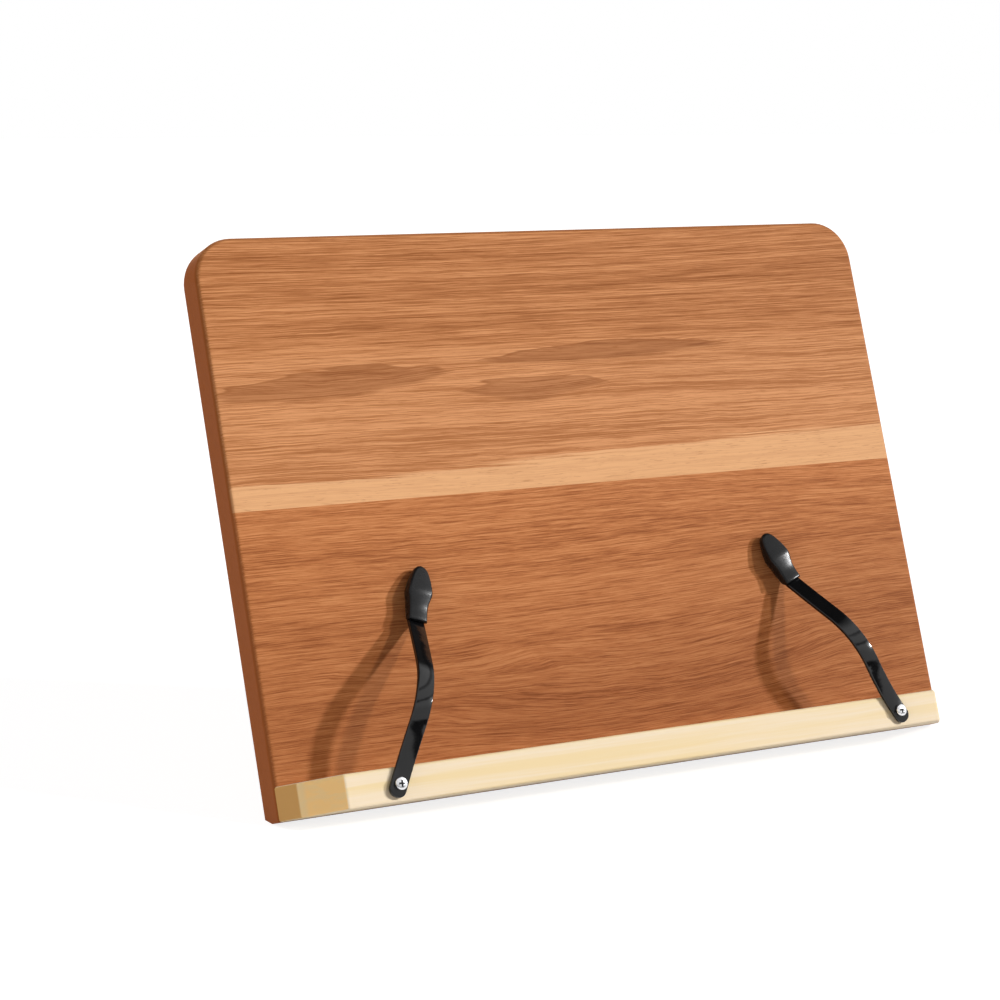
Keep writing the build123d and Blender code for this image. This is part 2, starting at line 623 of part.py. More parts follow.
# Assembly
def build():
    nodes = {}
    board = board_blank()
    for dowel in stave_dowels():
        board -= dowel
    for screw in ledge_screws(recess=False):
        board -= screw
    for screw in batten_screws(recess=False):
        board -= screw
    for screw in rail_screws(recess=False):
        board -= screw
    hinge_spot = Pos(0, AXIS_DEPTH, HINGE_AXIS_HEIGHT)
    for screw in both_hinges(leaf_screws(False, recess=False)):
        board -= hinge_spot * screw
    above_glue = block(-REACH, REACH, -REACH, REACH, GLUE_LINE_HEIGHT, REACH)
    below_glue = block(-REACH, REACH, -REACH, REACH, -REACH, GLUE_LINE_HEIGHT)
    nodes["upper_stave"] = board_place * (board & above_glue)
    nodes["lower_stave"] = board_place * (board & below_glue)
    nodes["stave_dowels"] = board_place * group(stave_dowels())

    ledge = page_ledge()
    for screw in ledge_screws(recess=False):
        ledge -= screw
    for side in (-1, 1):
        ledge -= arm_screw(side, recess=False)
    nodes["page_ledge"] = board_place * ledge
    nodes["ledge_screws"] = board_place * group(ledge_screws())
    nodes["left_arm_screw"] = board_place * arm_screw(-1)
    nodes["right_arm_screw"] = board_place * arm_screw(1)

    batten = hinge_batten()
    for screw in batten_screws(recess=False):
        batten -= screw
    for screw in both_hinges(leaf_screws(False, recess=False)):
        batten -= hinge_spot * screw
    nodes["hinge_batten"] = board_place * batten
    nodes["batten_screws"] = board_place * group(batten_screws())
    rail = stay_rail()
    for screw in rail_screws(recess=False):
        rail -= screw
    nodes["stay_rail"] = board_place * rail
    nodes["rail_screws"] = board_place * group(rail_screws())

    board_leaf = hinge_leaf(False)
    for screw in leaf_screws(False, recess=False):
        board_leaf -= screw
    leg_leaf = hinge_leaf(True)
    for screw in leaf_screws(True, recess=False):
        leg_leaf -= screw
    pin = rod_x(PIN_RADIUS, -HINGE_WIDTH / 2, HINGE_WIDTH / 2)
    for side, name in ((-1, "left"), (1, "right")):
        spot = Pos(side * HINGE_SPREAD / 2, 0, 0)
        nodes[name + "_hinge_board_leaf"] = hinge_place * spot * board_leaf
        nodes[name + "_hinge_pin"] = hinge_place * spot * pin
        nodes[name + "_hinge_leg_leaf"] = leg_place * spot * leg_leaf
    nodes["hinge_board_screws"] = hinge_place * group(both_hinges(leaf_screws(False)))
    nodes["hinge_leg_screws"] = leg_place * group(both_hinges(leaf_screws(True)))

    nodes["rear_leg"] = rear_leg()
    nodes["leg_foot_pads"] = group(foot_pads())
    nodes["stay_pivot_screw"] = pivot_place * stay_pivot_screw()
    nodes["stay_spacer"] = pivot_place * stay_spacer()
    nodes["stay_link"] = stay_place * stay_link()
    nodes["clamp_bolt"] = stay_place * clamp_bolt()
    nodes["clamp_washer"] = stay_place * clamp_washer()
    nodes["clamp_thumb_nut"] = stay_place * thumb_nut()

    strip = whole_strip()
    arm_pieces = {"arm_base": arm_base(strip), "arm_spring": arm_spring(strip), "tip_cap": tip_cap(strip)}
    for side, name in ((-1, "left"), (1, "right")):
        place = arm_place(side)
        for piece, shape in arm_pieces.items():
            handed = shape if side < 0 else mirror(shape, about=Plane.YZ)
            nodes[name + "_" + piece] = place * handed
    return nodes


def write(nodes):
    os.makedirs("parts", exist_ok=True)
    for name, shape in nodes.items():
        export_step(shape, "parts/" + name + ".step")
    clamp = (stay_place * Pos(0, 0, -LINK_LENGTH)).position
    slot_line = (hinge_place * Pos(0, 0, -SLOT_REST)).position
    print("clamp bolt", clamp, "its place in the slot", slot_line)
    print("hinge axis", hinge_place.position, "stay pivot", pivot_place.position)
    print("nodes", len(nodes))


write(build())
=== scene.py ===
import math
from functools import partialmethod

import bmesh
import bpy
from bpy.props import FloatProperty, FloatVectorProperty, IntProperty, PointerProperty
from bpy.types import Operator, Panel, PropertyGroup
from mathutils import Matrix, Vector


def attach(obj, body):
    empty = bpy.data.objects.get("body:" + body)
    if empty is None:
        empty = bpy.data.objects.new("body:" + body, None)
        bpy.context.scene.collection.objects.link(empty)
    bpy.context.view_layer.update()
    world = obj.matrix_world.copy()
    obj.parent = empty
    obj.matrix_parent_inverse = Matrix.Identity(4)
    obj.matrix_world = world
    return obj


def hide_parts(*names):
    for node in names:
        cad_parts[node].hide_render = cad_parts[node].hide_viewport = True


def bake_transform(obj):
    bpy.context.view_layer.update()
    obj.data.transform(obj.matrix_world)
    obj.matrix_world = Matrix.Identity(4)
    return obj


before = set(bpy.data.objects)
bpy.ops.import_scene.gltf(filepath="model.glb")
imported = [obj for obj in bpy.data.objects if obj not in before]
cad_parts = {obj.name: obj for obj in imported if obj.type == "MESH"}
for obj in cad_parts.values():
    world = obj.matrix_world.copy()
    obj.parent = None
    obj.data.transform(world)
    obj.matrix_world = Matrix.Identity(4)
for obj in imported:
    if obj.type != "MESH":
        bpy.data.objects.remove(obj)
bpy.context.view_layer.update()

bl_info = {
    "name": "Reading Stand",
    "version": (1, 0, 0),
    "blender": (4, 5, 0),
    "location": "View3D > Sidebar > Stand",
    "description": "Dresses a leaning wooden reading stand with two sprung page arms",
    "category": "Object",
}

MM = 0.001


def length(name, description, default):
    return FloatProperty(name=name, description=description, default=default, min=0.0, unit="LENGTH")


def angle(name, description, degrees):
    return FloatProperty(name=name, description=description, default=math.radians(degrees), unit="ROTATION")


def colour(name, description, *srgb):
    """Colour property from an sRGB triple counted to 255."""
    linear = [((c / 255 + 0.055) / 1.055) ** 2.4 if c > 10 else c / 255 / 12.92 for c in srgb]
    return FloatVectorProperty(name=name, description=description, default=linear, size=3,
                               min=0.0, max=1.0, subtype="COLOR")


class StandSizes(PropertyGroup):
    board_width: length("Board width", "Length of the board from side to side", 0.390)
    board_thickness: length("Board thickness", "Thickness of the board", 0.018)
    board_lean: angle("Board lean", "How far the board leans back from upright", 19.25)
    foot_bevel: length("Foot bevel", "Thickness of the board in front of the foot bevel", 0.0086)
    ledge_depth: length("Ledge depth", "How far the ledge stands out from the board", 0.0285)
    ledge_height: length("Ledge height", "Height of the ledge's front face", 0.0164)
    arm_inset: length("Arm inset", "Arm screws from the board's ends", 0.049)
    left_arm_turn: angle("Left arm turn", "Left arm's angle from straight up the board", 22.8)
    right_arm_turn: angle("Right arm turn", "Right arm's angle from straight up the board", -24.0)
    strip_width: length("Strip width", "Width of an arm's steel strip", 0.0086)
    strip_thickness: length("Strip thickness", "Thickness of an arm's steel strip", 0.0020)
    strip_edge: length("Strip edge", "Rounding of the strip's edges", 0.0005)
    strip_tail: length("Strip tail", "Strip below its screw", 0.0065)
    strip_tail_round: length("Strip tail round", "Corner radius of the strip's lower end", 0.0039)
    strip_bow: length("Strip bow", "Sideways bow of the strip", 0.00225)
    strip_bow_length: length("Strip bow length", "Length over which the strip bows", 0.108)
    seat_gap: length("Seat gap", "Gap between the ledge and the strip", 0.0003)
    arm_head_radius: length("Arm screw head", "Radius of an arm screw's head", 0.0030)
    arm_head_height: length("Arm screw head height", "Height of an arm screw's head", 0.0020)
    ledge_head_radius: length("Ledge screw head", "Radius of a ledge screw's head", 0.0040)
    wood_head_radius: length("Wood screw head", "Radius of a hinge, batten or rail screw's head", 0.0029)
    pan_head_height: length("Pan head height", "Height of a rail or stay screw's head", 0.0019)
    axis_height: length("Hinge axis height", "Hinge axis above the board's foot, along the board", 0.195)
    axis_offset: length("Hinge axis offset", "Hinge axis behind the board's back", 0.0088)
    leg_splay: angle("Leg splay", "Leg's angle from upright", 20.0)
    screw_seed: IntProperty(name="Screw seed", description="Turns the screw slots at random", default=7)


class StandColours(PropertyGroup):
    oak_light: colour("Oak light", "Light streaks of the upper stave", 207, 143, 94)
    oak_mid: colour("Oak", "Body of the upper stave", 180, 116, 70)
    oak_dark: colour("Oak dark", "Dark streaks of the upper stave", 142, 83, 42)
    oak_pale: colour("Oak pale", "Paler zone in the middle of the upper stave", 218, 155, 106)
    oak_end: colour("Oak end", "End grain of the staves", 143, 75, 28)
    sapwood: colour("Sapwood", "Pale band beside the glue line", 226, 172, 123)
    red_light: colour("Red oak light", "Light streaks of the lower stave", 205, 137, 86)
    red_mid: colour("Red oak", "Body of the lower stave", 186, 116, 68)
    red_dark: colour("Red oak dark", "Dark streaks of the lower stave", 145, 82, 43)
    poplar: colour("Poplar", "Pale wood of the ledge", 238, 219, 191)
    poplar_streak: colour("Poplar streak", "Yellow streaks of the ledge", 235, 211, 164)
    poplar_end: colour("Poplar end", "Slanting ends of the ledge", 255, 208, 138)
    poplar_end_dark: colour("Poplar end dark", "Olive band of the ledge's ends", 208, 157, 91)
    beech: colour("Beech", "Wood of the dowels", 214, 170, 122)
    enamel: colour("Enamel", "Black enamel of the strips", 7, 7, 8)
    rubber: colour("Cap rubber", "Dark rubber of the caps", 14, 14, 15)
    pad: colour("Pad rubber", "Rubber of the foot pads", 38, 37, 36)
    bright_steel: colour("Bright steel", "Plated screws", 238, 238, 240)
    plain_steel: colour("Plain steel", "Hinges and washers", 176, 178, 182)
    zinc: colour("Zinc", "Slotted rail and link", 196, 199, 204)
    brass: colour("Brass", "Thumb nut", 214, 176, 96)
    floor: colour("Floor", "Floor around the stand", 228, 228, 228)


def sizes():
    return bpy.context.scene.stand_sizes


def colours():
    return bpy.context.scene.stand_colours


# Places
def board_frame():
    """Board coordinates to the world: X across, Y behind the front face, Z up the board."""
    s = sizes()
    rise = (s.board_thickness - s.foot_bevel) * math.tan(s.board_lean)
    front = s.foot_bevel * math.cos(s.board_lean)
    back = s.board_thickness * math.cos(s.board_lean) + rise * math.sin(s.board_lean)
    foot = Matrix.Translation((0, -(front + back) / 2, s.foot_bevel * math.sin(s.board_lean)))
    return foot @ Matrix.Rotation(-s.board_lean, 4, "X")


def leg_frame():
    """Leg coordinates to the world: the leg hangs down -Z from the hinge axis."""
    s = sizes()
    hinge = Matrix.Translation((0, s.board_thickness + s.axis_offset, s.axis_height))
    return board_frame() @ hinge @ Matrix.Rotation(s.board_lean + s.leg_splay, 4, "X")


def arm_frame(side):
    """Arm coordinates to the world: Z along the arm, -Y away from the board, X across."""
    s = sizes()
    turn = s.left_arm_turn if side < 0 else s.right_arm_turn
    screw = Matrix.Translation((side * (s.board_width / 2 - s.arm_inset), 0, s.ledge_height / 2))
    hand = Matrix.Scale(-side, 4, (1, 0, 0))
    return board_frame() @ screw @ Matrix.Rotation(turn, 4, "Y") @ hand


# Meshes
# How near two points are merged, in a mesh made here and in one of the frame
SAME_POINT = 1e-7
SAME_CAD_POINT = 2e-6


def in_scene(name, data):
    """New object in the scene around its data."""
    made = bpy.data.objects.new(name, data)
    bpy.context.scene.collection.objects.link(made)
    return made


def new_object(name, verts, faces):
    mesh = bpy.data.meshes.new(name)
    mesh.from_pydata([tuple(v) for v in verts], [], faces)
    mesh.update()
    return in_scene(name, mesh)


def face_outwards(piece):
    """Merge doubles and turn every face outwards."""
    bm = bmesh.new()
    bm.from_mesh(piece.data)
    bmesh.ops.remove_doubles(bm, verts=bm.verts, dist=SAME_POINT)
    bmesh.ops.recalc_face_normals(bm, faces=bm.faces)
    bm.to_mesh(piece.data)
    bm.free()


def closed(name, verts, faces):
    """New mesh object with its doubles merged and its faces outwards."""
    piece = new_object(name, verts, faces)
    face_outwards(piece)
    return piece


def smooth(piece, degrees):
    """Shade the piece smooth, but for edges sharper than so many degrees."""
    piece.data.shade_smooth()
    piece.data.set_sharp_from_angle(angle=math.radians(degrees))


def stand_at(piece, place, degrees):
    """Move the mesh to its place, turn it outwards again if that mirrored it, and smooth it."""
    piece.data.transform(place)
    face_outwards(piece)
    smooth(piece, degrees)


def freeze(piece):
    """Turn the piece's modifiers into plain mesh."""
    graph = bpy.context.evaluated_depsgraph_get()
    mesh = bpy.data.meshes.new_from_object(piece.evaluated_get(graph))
    mesh.name = piece.name
    piece.modifiers.clear()
    piece.data = mesh


def cut(piece, tool):
    """Take the tool's shape out of the piece and drop the tool."""
    modifier = piece.modifiers.new("Cut", "BOOLEAN")
    modifier.operation = "DIFFERENCE"
    modifier.solver = "EXACT"
    modifier.object = tool
    freeze(piece)
    bpy.data.objects.remove(tool)


def paint(piece, material):
    piece.data.materials.clear()
    piece.data.materials.append(material)


def finish_piece(piece, material, body, nodes):
    paint(piece, material)
    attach(piece, body)
    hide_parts(*nodes)


def stacked_outlines(levels):
    """Closed shell from outlines at rising levels: each a right and a left side with equally many points."""
    verts = []
    count = len(levels[0][0])
    for right, left in levels:
        verts += right + left
    ring = 2 * count
    faces = []
    loop = list(range(count)) + list(range(2 * count - 1, count - 1, -1))
    for k in range(len(levels) - 1):
        for i in range(ring):
            a, b = loop[i], loop[(i + 1) % ring]
            faces.append((k * ring + a, k * ring + b, (k + 1) * ring + b, (k + 1) * ring + a))
    for base in (0, (len(levels) - 1) * ring):
        for i in range(count - 1):
            faces.append((base + i, base + i + 1, base + count + i + 1, base + count + i))
    return verts, faces


# Arms
# Side view of a strip above its screw: the length of a straight run and no turn, or the radius of a
# bend and its turn in degrees.
STRIP_SIDE = ((0.004, 0.0), (0.0859, 8.0), (0.006, 0.0), (0.0868, 3.3), (0.0025, 0.0), (0.038, -49.7),
              (0.0304, 0.0), (0.009, 39.9), (0.015, 0.0))
RUN_STEP = 0.003
BEND_STEP = math.radians(3)
RIM_STEPS, TAIL_STEPS = 4, 9
STRIP_SHARP, CAP_SHARP = 40, 30


def strip_stations():
    """Side view of the strip's middle, above its rounded tail, as (along, out, heading)."""
    s = sizes()
    along, heading = 0.0, 0.0
    out = s.ledge_depth + s.seat_gap + s.strip_thickness / 2
    start = s.strip_tail_round - s.strip_tail
    stations = [(start, out, 0.0), (start / 2, out, 0.0), (0.0, out, 0.0)]
    for size, degrees in STRIP_SIDE:
        bend = math.radians(degrees)
        count = math.ceil(abs(bend) / BEND_STEP if bend else size / RUN_STEP)
        step = 2 * size * math.sin(abs(bend) / count / 2) if bend else size / count
        for _ in range(count):
            middle = heading + bend / count / 2
            along += step * math.cos(middle)
            out += step * math.sin(middle)
            heading += bend / count
            stations.append((along, out, heading))
    return stations


def bow_circle():
    """Half the length and the radius of the strip's sideways bow."""
    s = sizes()
    half = s.strip_bow_length / 2
    return half, (half * half + s.strip_bow * s.strip_bow) / (2 * s.strip_bow)


def bowed(along, across, out):
    """Point of an arm, bent sideways along the strip's bow."""
    half, radius = bow_circle()
    past = along - half
    lean = math.asin(-past / radius)
    middle = sizes().strip_bow - radius + math.sqrt(radius * radius - past * past)
    return Vector((middle + across * math.cos(lean), -out, along - across * math.sin(lean)))


def strip_levels():
    """(height, inset) pairs from the strip's back to its front, with rounded edges."""
    s = sizes()
    half, edge = s.strip_thickness / 2, s.strip_edge
    back, front = [], []
    for i in range(RIM_STEPS + 1):
        turn = math.pi / 2 * i / RIM_STEPS
        rise, inset = edge * (1 - math.cos(turn)), edge * (1 - math.sin(turn))
        back.append((-half + rise, inset))
        front.append((half - rise, inset))
    return back + front[::-1]


def strip_level(stations, height, inset):
    """One outline of the strip at a height from its middle, drawn in by inset."""
    s = sizes()
    reach = s.strip_tail_round - inset
    half = s.strip_width / 2 - inset
    tail = []
    for i in range(TAIL_STEPS):
        turn = math.pi / 2 * i / TAIL_STEPS
        along = -s.strip_tail + inset + reach * (1 - math.cos(turn))
        tail.append((along, stations[0][1], 0.0, half - reach + reach * math.sin(turn)))
    sides = tail + [(along, out, heading, half) for along, out, heading in stations]
    right, left = [], []
    for along, out, heading, width in sides:
        a = along - math.sin(heading) * height
        o = out + math.cos(heading) * height
        right.append(bowed(a, width, o))
        left.append(bowed(a, -width, o))
    return right, left


def strip_mesh(name):
    """Unbroken strip of an arm in its own frame."""
    stations = strip_stations()
    levels = [strip_level(stations, height, inset) for height, inset in strip_levels()]
    return closed(name, *stacked_outlines(levels))


# Cap in its arm's frame: half width, front and back by place along the arm, and how far its wall is
# drawn in by share of its height.
CAP_HALF_OUTLINE = ((0.0836, 0.0051), (0.0905, 0.0051), (0.0930, 0.0054), (0.0972, 0.0066), (0.0988, 0.0067),
                    (0.1030, 0.0061), (0.1070, 0.0049), (0.1098, 0.0037), (0.1114, 0.0023), (0.1120, 0.0003))
CAP_TOP = ((0.0836, 0.0102), (0.0905, 0.0088), (0.0990, 0.0086), (0.1120, 0.0052))
CAP_BOTTOM = ((0.0836, 0.0038), (0.0910, 0.0006), (0.1120, 0.0009))
CAP_WALL = ((0.0, 0.0018), (0.04, 0.0014), (0.12, 0.0009), (0.45, 0.0002), (0.76, 0.0),
            (0.90, 0.0003), (0.96, 0.0006), (0.99, 0.0010), (1.0, 0.0014))
CAP_SOFTENING, CAP_LEAST_WIDTH = 0.0007, 0.0001
CORNER_CUTS = (0.25, 0.75)


def along_line(points, at):
    """Height of a broken line at a place along it, its corners softened."""
    def exact(x):
        if x <= points[0][0]:
            return points[0][1]
        for (x0, y0), (x1, y1) in zip(points, points[1:]):
            if x <= x1:
                return y0 + (y1 - y0) * (x - x0) / (x1 - x0)
        return points[-1][1]
    near = [exact(at + CAP_SOFTENING * k) for k in (-2, -1, 0, 1, 2)]
    return sum(near) / len(near)


def rounded_line(points, turns=2):
    """Cut the corners of a broken line, keeping its two ends."""
    for _ in range(turns):
        finer = [points[0]]
        for (x0, y0), (x1, y1) in zip(points, points[1:]):
            finer += [(x0 * (1 - t) + x1 * t, y0 * (1 - t) + y1 * t) for t in CORNER_CUTS]
        points = finer + [points[-1]]
    return points


def drawn_in(points, inset):
    """The half outline moved inwards by inset, its first edge and its tip too."""
    start = points[0][0] + inset
    moved = []
    for i, (x, y) in enumerate(points):
        before = points[max(i - 1, 0)]
        after = points[min(i + 1, len(points) - 1)]
        run, rise = after[0] - before[0], after[1] - before[1]
        size = math.hypot(run, rise)
        moved.append([max(x + inset * rise / size, start), max(y - inset * run / size, CAP_LEAST_WIDTH)])
    moved[-1][0] = min(moved[-1][0], points[-1][0] - inset)
    return moved


def cap_mesh(name):
    """Spade shaped rubber cap about the bowed strip's line."""
    outline = rounded_line(CAP_HALF_OUTLINE)
    middle = (outline[0][0] + outline[-1][0]) / 2
    half, radius = bow_circle()
    turn = math.asin((middle - half) / radius)
    aside = sizes().strip_bow - radius * (1 - math.cos(turn))
    shells = []
    for share, inset in CAP_WALL:
        right, left = [], []
        for along, width in drawn_in(outline, inset):
            low = along_line(CAP_BOTTOM, along)
            out = low + (along_line(CAP_TOP, along) - low) * share
            for hand, side in ((1, right), (-1, left)):
                x, z = hand * width, along - middle
                side.append(Vector((aside + x * math.cos(turn) - z * math.sin(turn), -out,
                                    middle + x * math.sin(turn) + z * math.cos(turn))))
        shells.append((right, left))
    return closed(name, *stacked_outlines(shells))


# Screws
TURNED_SIDES = 40
# Shares of a head's radius: half length, half depth and half width of a recess's bars, how their ends
# narrow below and widen above, between which depths the recess gets painted shade, and how far from its
# middle.
RECESS_SPAN, RECESS_DEEP, RECESS_WIDE = 0.60, 0.40, 0.15
RECESS_LOW, RECESS_HIGH = (0.42, 0.6), (1.5, 1.4)
RECESS_PAINTED_SHADE_DEPTHS, RECESS_PAINTED_SHADE_WITHIN = (0.02, 0.44), 0.5
BAR_FACES = ((0, 1, 2, 3), (7, 6, 5, 4), (0, 4, 5, 1), (1, 5, 6, 2), (2, 6, 7, 3), (3, 7, 4, 0))
# Pan head: angles of its dome, shares of its height and its foot's share of its radius
DOME_ANGLES = (26, 48, 66, 80)
PAN_SIDE, PAN_DOME, PAN_FOOT, PAN_FOOT_RADIUS = 0.72, 0.28, 0.08, 0.97
FLAT_HEAD_EDGE, FLAT_HEAD_DROP = 0.00015, 0.00012
SCREW_SHARP = 30


def turned(name, profile):
    """Closed solid turned about Z from a profile of (radius, height) that starts and ends on the axis."""
    verts, faces, rings = [], [], []
    for radius, height in profile:
        count = TURNED_SIDES if radius else 1
        rings.append(range(len(verts), len(verts) + count))
        for i in range(count):
            a = 2 * math.pi * i / TURNED_SIDES
            verts.append((radius * math.cos(a), radius * math.sin(a), height))
    for low, high in zip(rings, rings[1:]):
        for i in range(TURNED_SIDES):
            j = (i + 1) % TURNED_SIDES
            corners = [low[i % len(low)], low[j % len(low)], high[j % len(high)], high[i % len(high)]]
            faces.append(list(dict.fromkeys(corners)))
    return closed(name, verts, faces)


def recess_bars(radius, top):
    """The two tapered bars that cut a screw head's cross recess."""
    span, deep, wide = radius * RECESS_SPAN, radius * RECESS_DEEP, radius * RECESS_WIDE
    bars = []
    for name in ("recess", "recess_cross"):
        verts = []
        for z, (longer, wider) in ((top + deep, RECESS_HIGH), (top - deep, RECESS_LOW)):
            reach, thick = span * longer, wide * wider
            verts += [(-reach, -thick, z), (reach, -thick, z), (reach, thick, z), (-reach, thick, z)]
        if name == "recess_cross":
            verts = [(-y, x, z) for x, y, z in verts]
        bars.append(closed(name, verts, BAR_FACES))
    return bars


def screw_template(name, shank, head, height, long_):
    """Cross recess screw with its seat at Z 0; a height of 0 makes a countersunk one, its flat top there."""
    if height:
        profile = [(0, height)]
        for a in DOME_ANGLES:
            turn = math.radians(a)
            profile.append((head * math.sin(turn), height * (PAN_SIDE + PAN_DOME * math.cos(turn))))
        profile += [(head, height * PAN_SIDE), (head, height * PAN_FOOT), (head * PAN_FOOT_RADIUS, 0),
                    (shank, 0)]
    else:
        profile = [(0, 0), (head - FLAT_HEAD_EDGE, 0), (head, -FLAT_HEAD_DROP), (shank, shank - head)]
    profile += [(shank, -long_ + shank), (0, -long_)]
    piece = turned(name, profile)
    for tool in recess_bars(head, height):
        cut(piece, tool)
    # Mark the recess's inner points, which the metal finish darkens as painted shade
    shade = piece.data.attributes.new("recess", "FLOAT", "POINT")
    for vert, item in zip(piece.data.vertices, shade.data):
        sunk, aside = (height - vert.co.z) / head, math.hypot(vert.co.x, vert.co.y) / head
        if RECESS_PAINTED_SHADE_DEPTHS[0] < sunk < RECESS_PAINTED_SHADE_DEPTHS[1] and aside < RECESS_PAINTED_SHADE_WITHIN:
            item.value = 1.0
    smooth(piece, SCREW_SHARP)
    return piece


def screw_spots(node, outward, height):
    """Seats of the node's screws, their length below them and their shank radius, from the frame's mesh."""
    bm = bmesh.new()
    bm.from_mesh(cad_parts[node].data)
    bmesh.ops.remove_doubles(bm, verts=bm.verts, dist=SAME_CAD_POINT)
    waiting = dict.fromkeys(bm.verts)
    side = outward.orthogonal().normalized()
    other = outward.cross(side)
    seats, long_, shank = [], 0.0, 0.0
    while waiting:
        reached = [waiting.popitem()[0]]
        for vert in reached:
            for edge in vert.link_edges:
                far = edge.other_vert(vert)
                if far in waiting:
                    del waiting[far]
                    reached.append(far)
        spans = [[v.co.dot(axis) for v in reached] for axis in (side, other, outward)]
        middle = [(min(span) + max(span)) / 2 for span in spans]
        top = max(spans[2]) - height
        seats.append(side * middle[0] + other * middle[1] + outward * top)
        long_ = top - min(spans[2])
        shank = max(math.hypot(v.co.dot(side) - middle[0], v.co.dot(other) - middle[1])
                    for v in reached if v.co.dot(outward) < middle[2])
    bm.free()
    seats.sort(key=lambda seat: (round(seat.x, 5), round(seat.z, 5)))
    return seats, long_, shank


def screws_tree():
    """Geometry nodes that set a screw on each point, along its outward direction and turned at random."""
    tree = bpy.data.node_groups.new("Screws on Points", "GeometryNodeTree")
    for name, way, kind in (("Points", "INPUT", "Geometry"), ("Screw", "INPUT", "Object"),
                            ("Seed", "INPUT", "Int"), ("Material", "INPUT", "Material"),
                            ("Screws", "OUTPUT", "Geometry")):
        tree.interface.new_socket(name, in_out=way, socket_type="NodeSocket" + kind)
    given, result, template, outward, aim, chance, about, spin, scatter, real, coat = [
        tree.nodes.new(kind) for kind in (
            "NodeGroupInput", "NodeGroupOutput", "GeometryNodeObjectInfo", "GeometryNodeInputNamedAttribute",
            "FunctionNodeAlignRotationToVector", "FunctionNodeRandomValue", "FunctionNodeAxisAngleToRotation",
            "FunctionNodeRotateRotation", "GeometryNodeInstanceOnPoints", "GeometryNodeRealizeInstances",
            "GeometryNodeSetMaterial")]
    outward.data_type = "FLOAT_VECTOR"
    outward.inputs["Name"].default_value = "outward"
    aim.axis = "Z"
    chance.data_type = "FLOAT"
    chance.inputs["Max"].default_value = math.tau
    about.inputs["Axis"].default_value = (0, 0, 1)
    spin.rotation_space = "LOCAL"
    for source, output, target, socket in (
            (given, "Screw", template, "Object"), (given, "Seed", chance, "Seed"),
            (outward, "Attribute", aim, "Vector"), (chance, "Value", about, "Angle"),
            (aim, "Rotation", spin, "Rotation"), (about, "Rotation", spin, "Rotate By"),
            (given, "Points", scatter, "Points"), (template, "Geometry", scatter, "Instance"),
            (spin, "Rotation", scatter, "Rotation"), (scatter, "Instances", real, "Geometry"),
            (real, "Geometry", coat, "Geometry"), (given, "Material", coat, "Material"),
            (coat, "Geometry", result, "Screws")):
        tree.links.new(source.outputs[output], target.inputs[socket])
    return tree


def set_input(modifier, name, value):
    """Set a geometry nodes input by its socket's identifier."""
    for item in modifier.node_group.interface.items_tree:
        if item.item_type == "SOCKET" and item.in_out == "INPUT" and item.name == name:
            modifier[item.identifier] = value
            return
    raise RuntimeError("no input named " + name)


def screws_on(name, seats, outward, template, material):
    """One mesh of screws standing on their seats."""
    piece = new_object(name, seats, [])
    directions = piece.data.attributes.new("outward", "FLOAT_VECTOR", "POINT")
    for item in directions.data:
        item.vector = outward
    modifier = piece.modifiers.new("Screws", "NODES")
    modifier.node_group = bpy.data.node_groups.get("Screws on Points") or screws_tree()
    for given, value in (("Screw", template), ("Seed", sizes().screw_seed), ("Material", material)):
        set_input(modifier, given, value)
    freeze(piece)
    smooth(piece, SCREW_SHARP)
    return piece


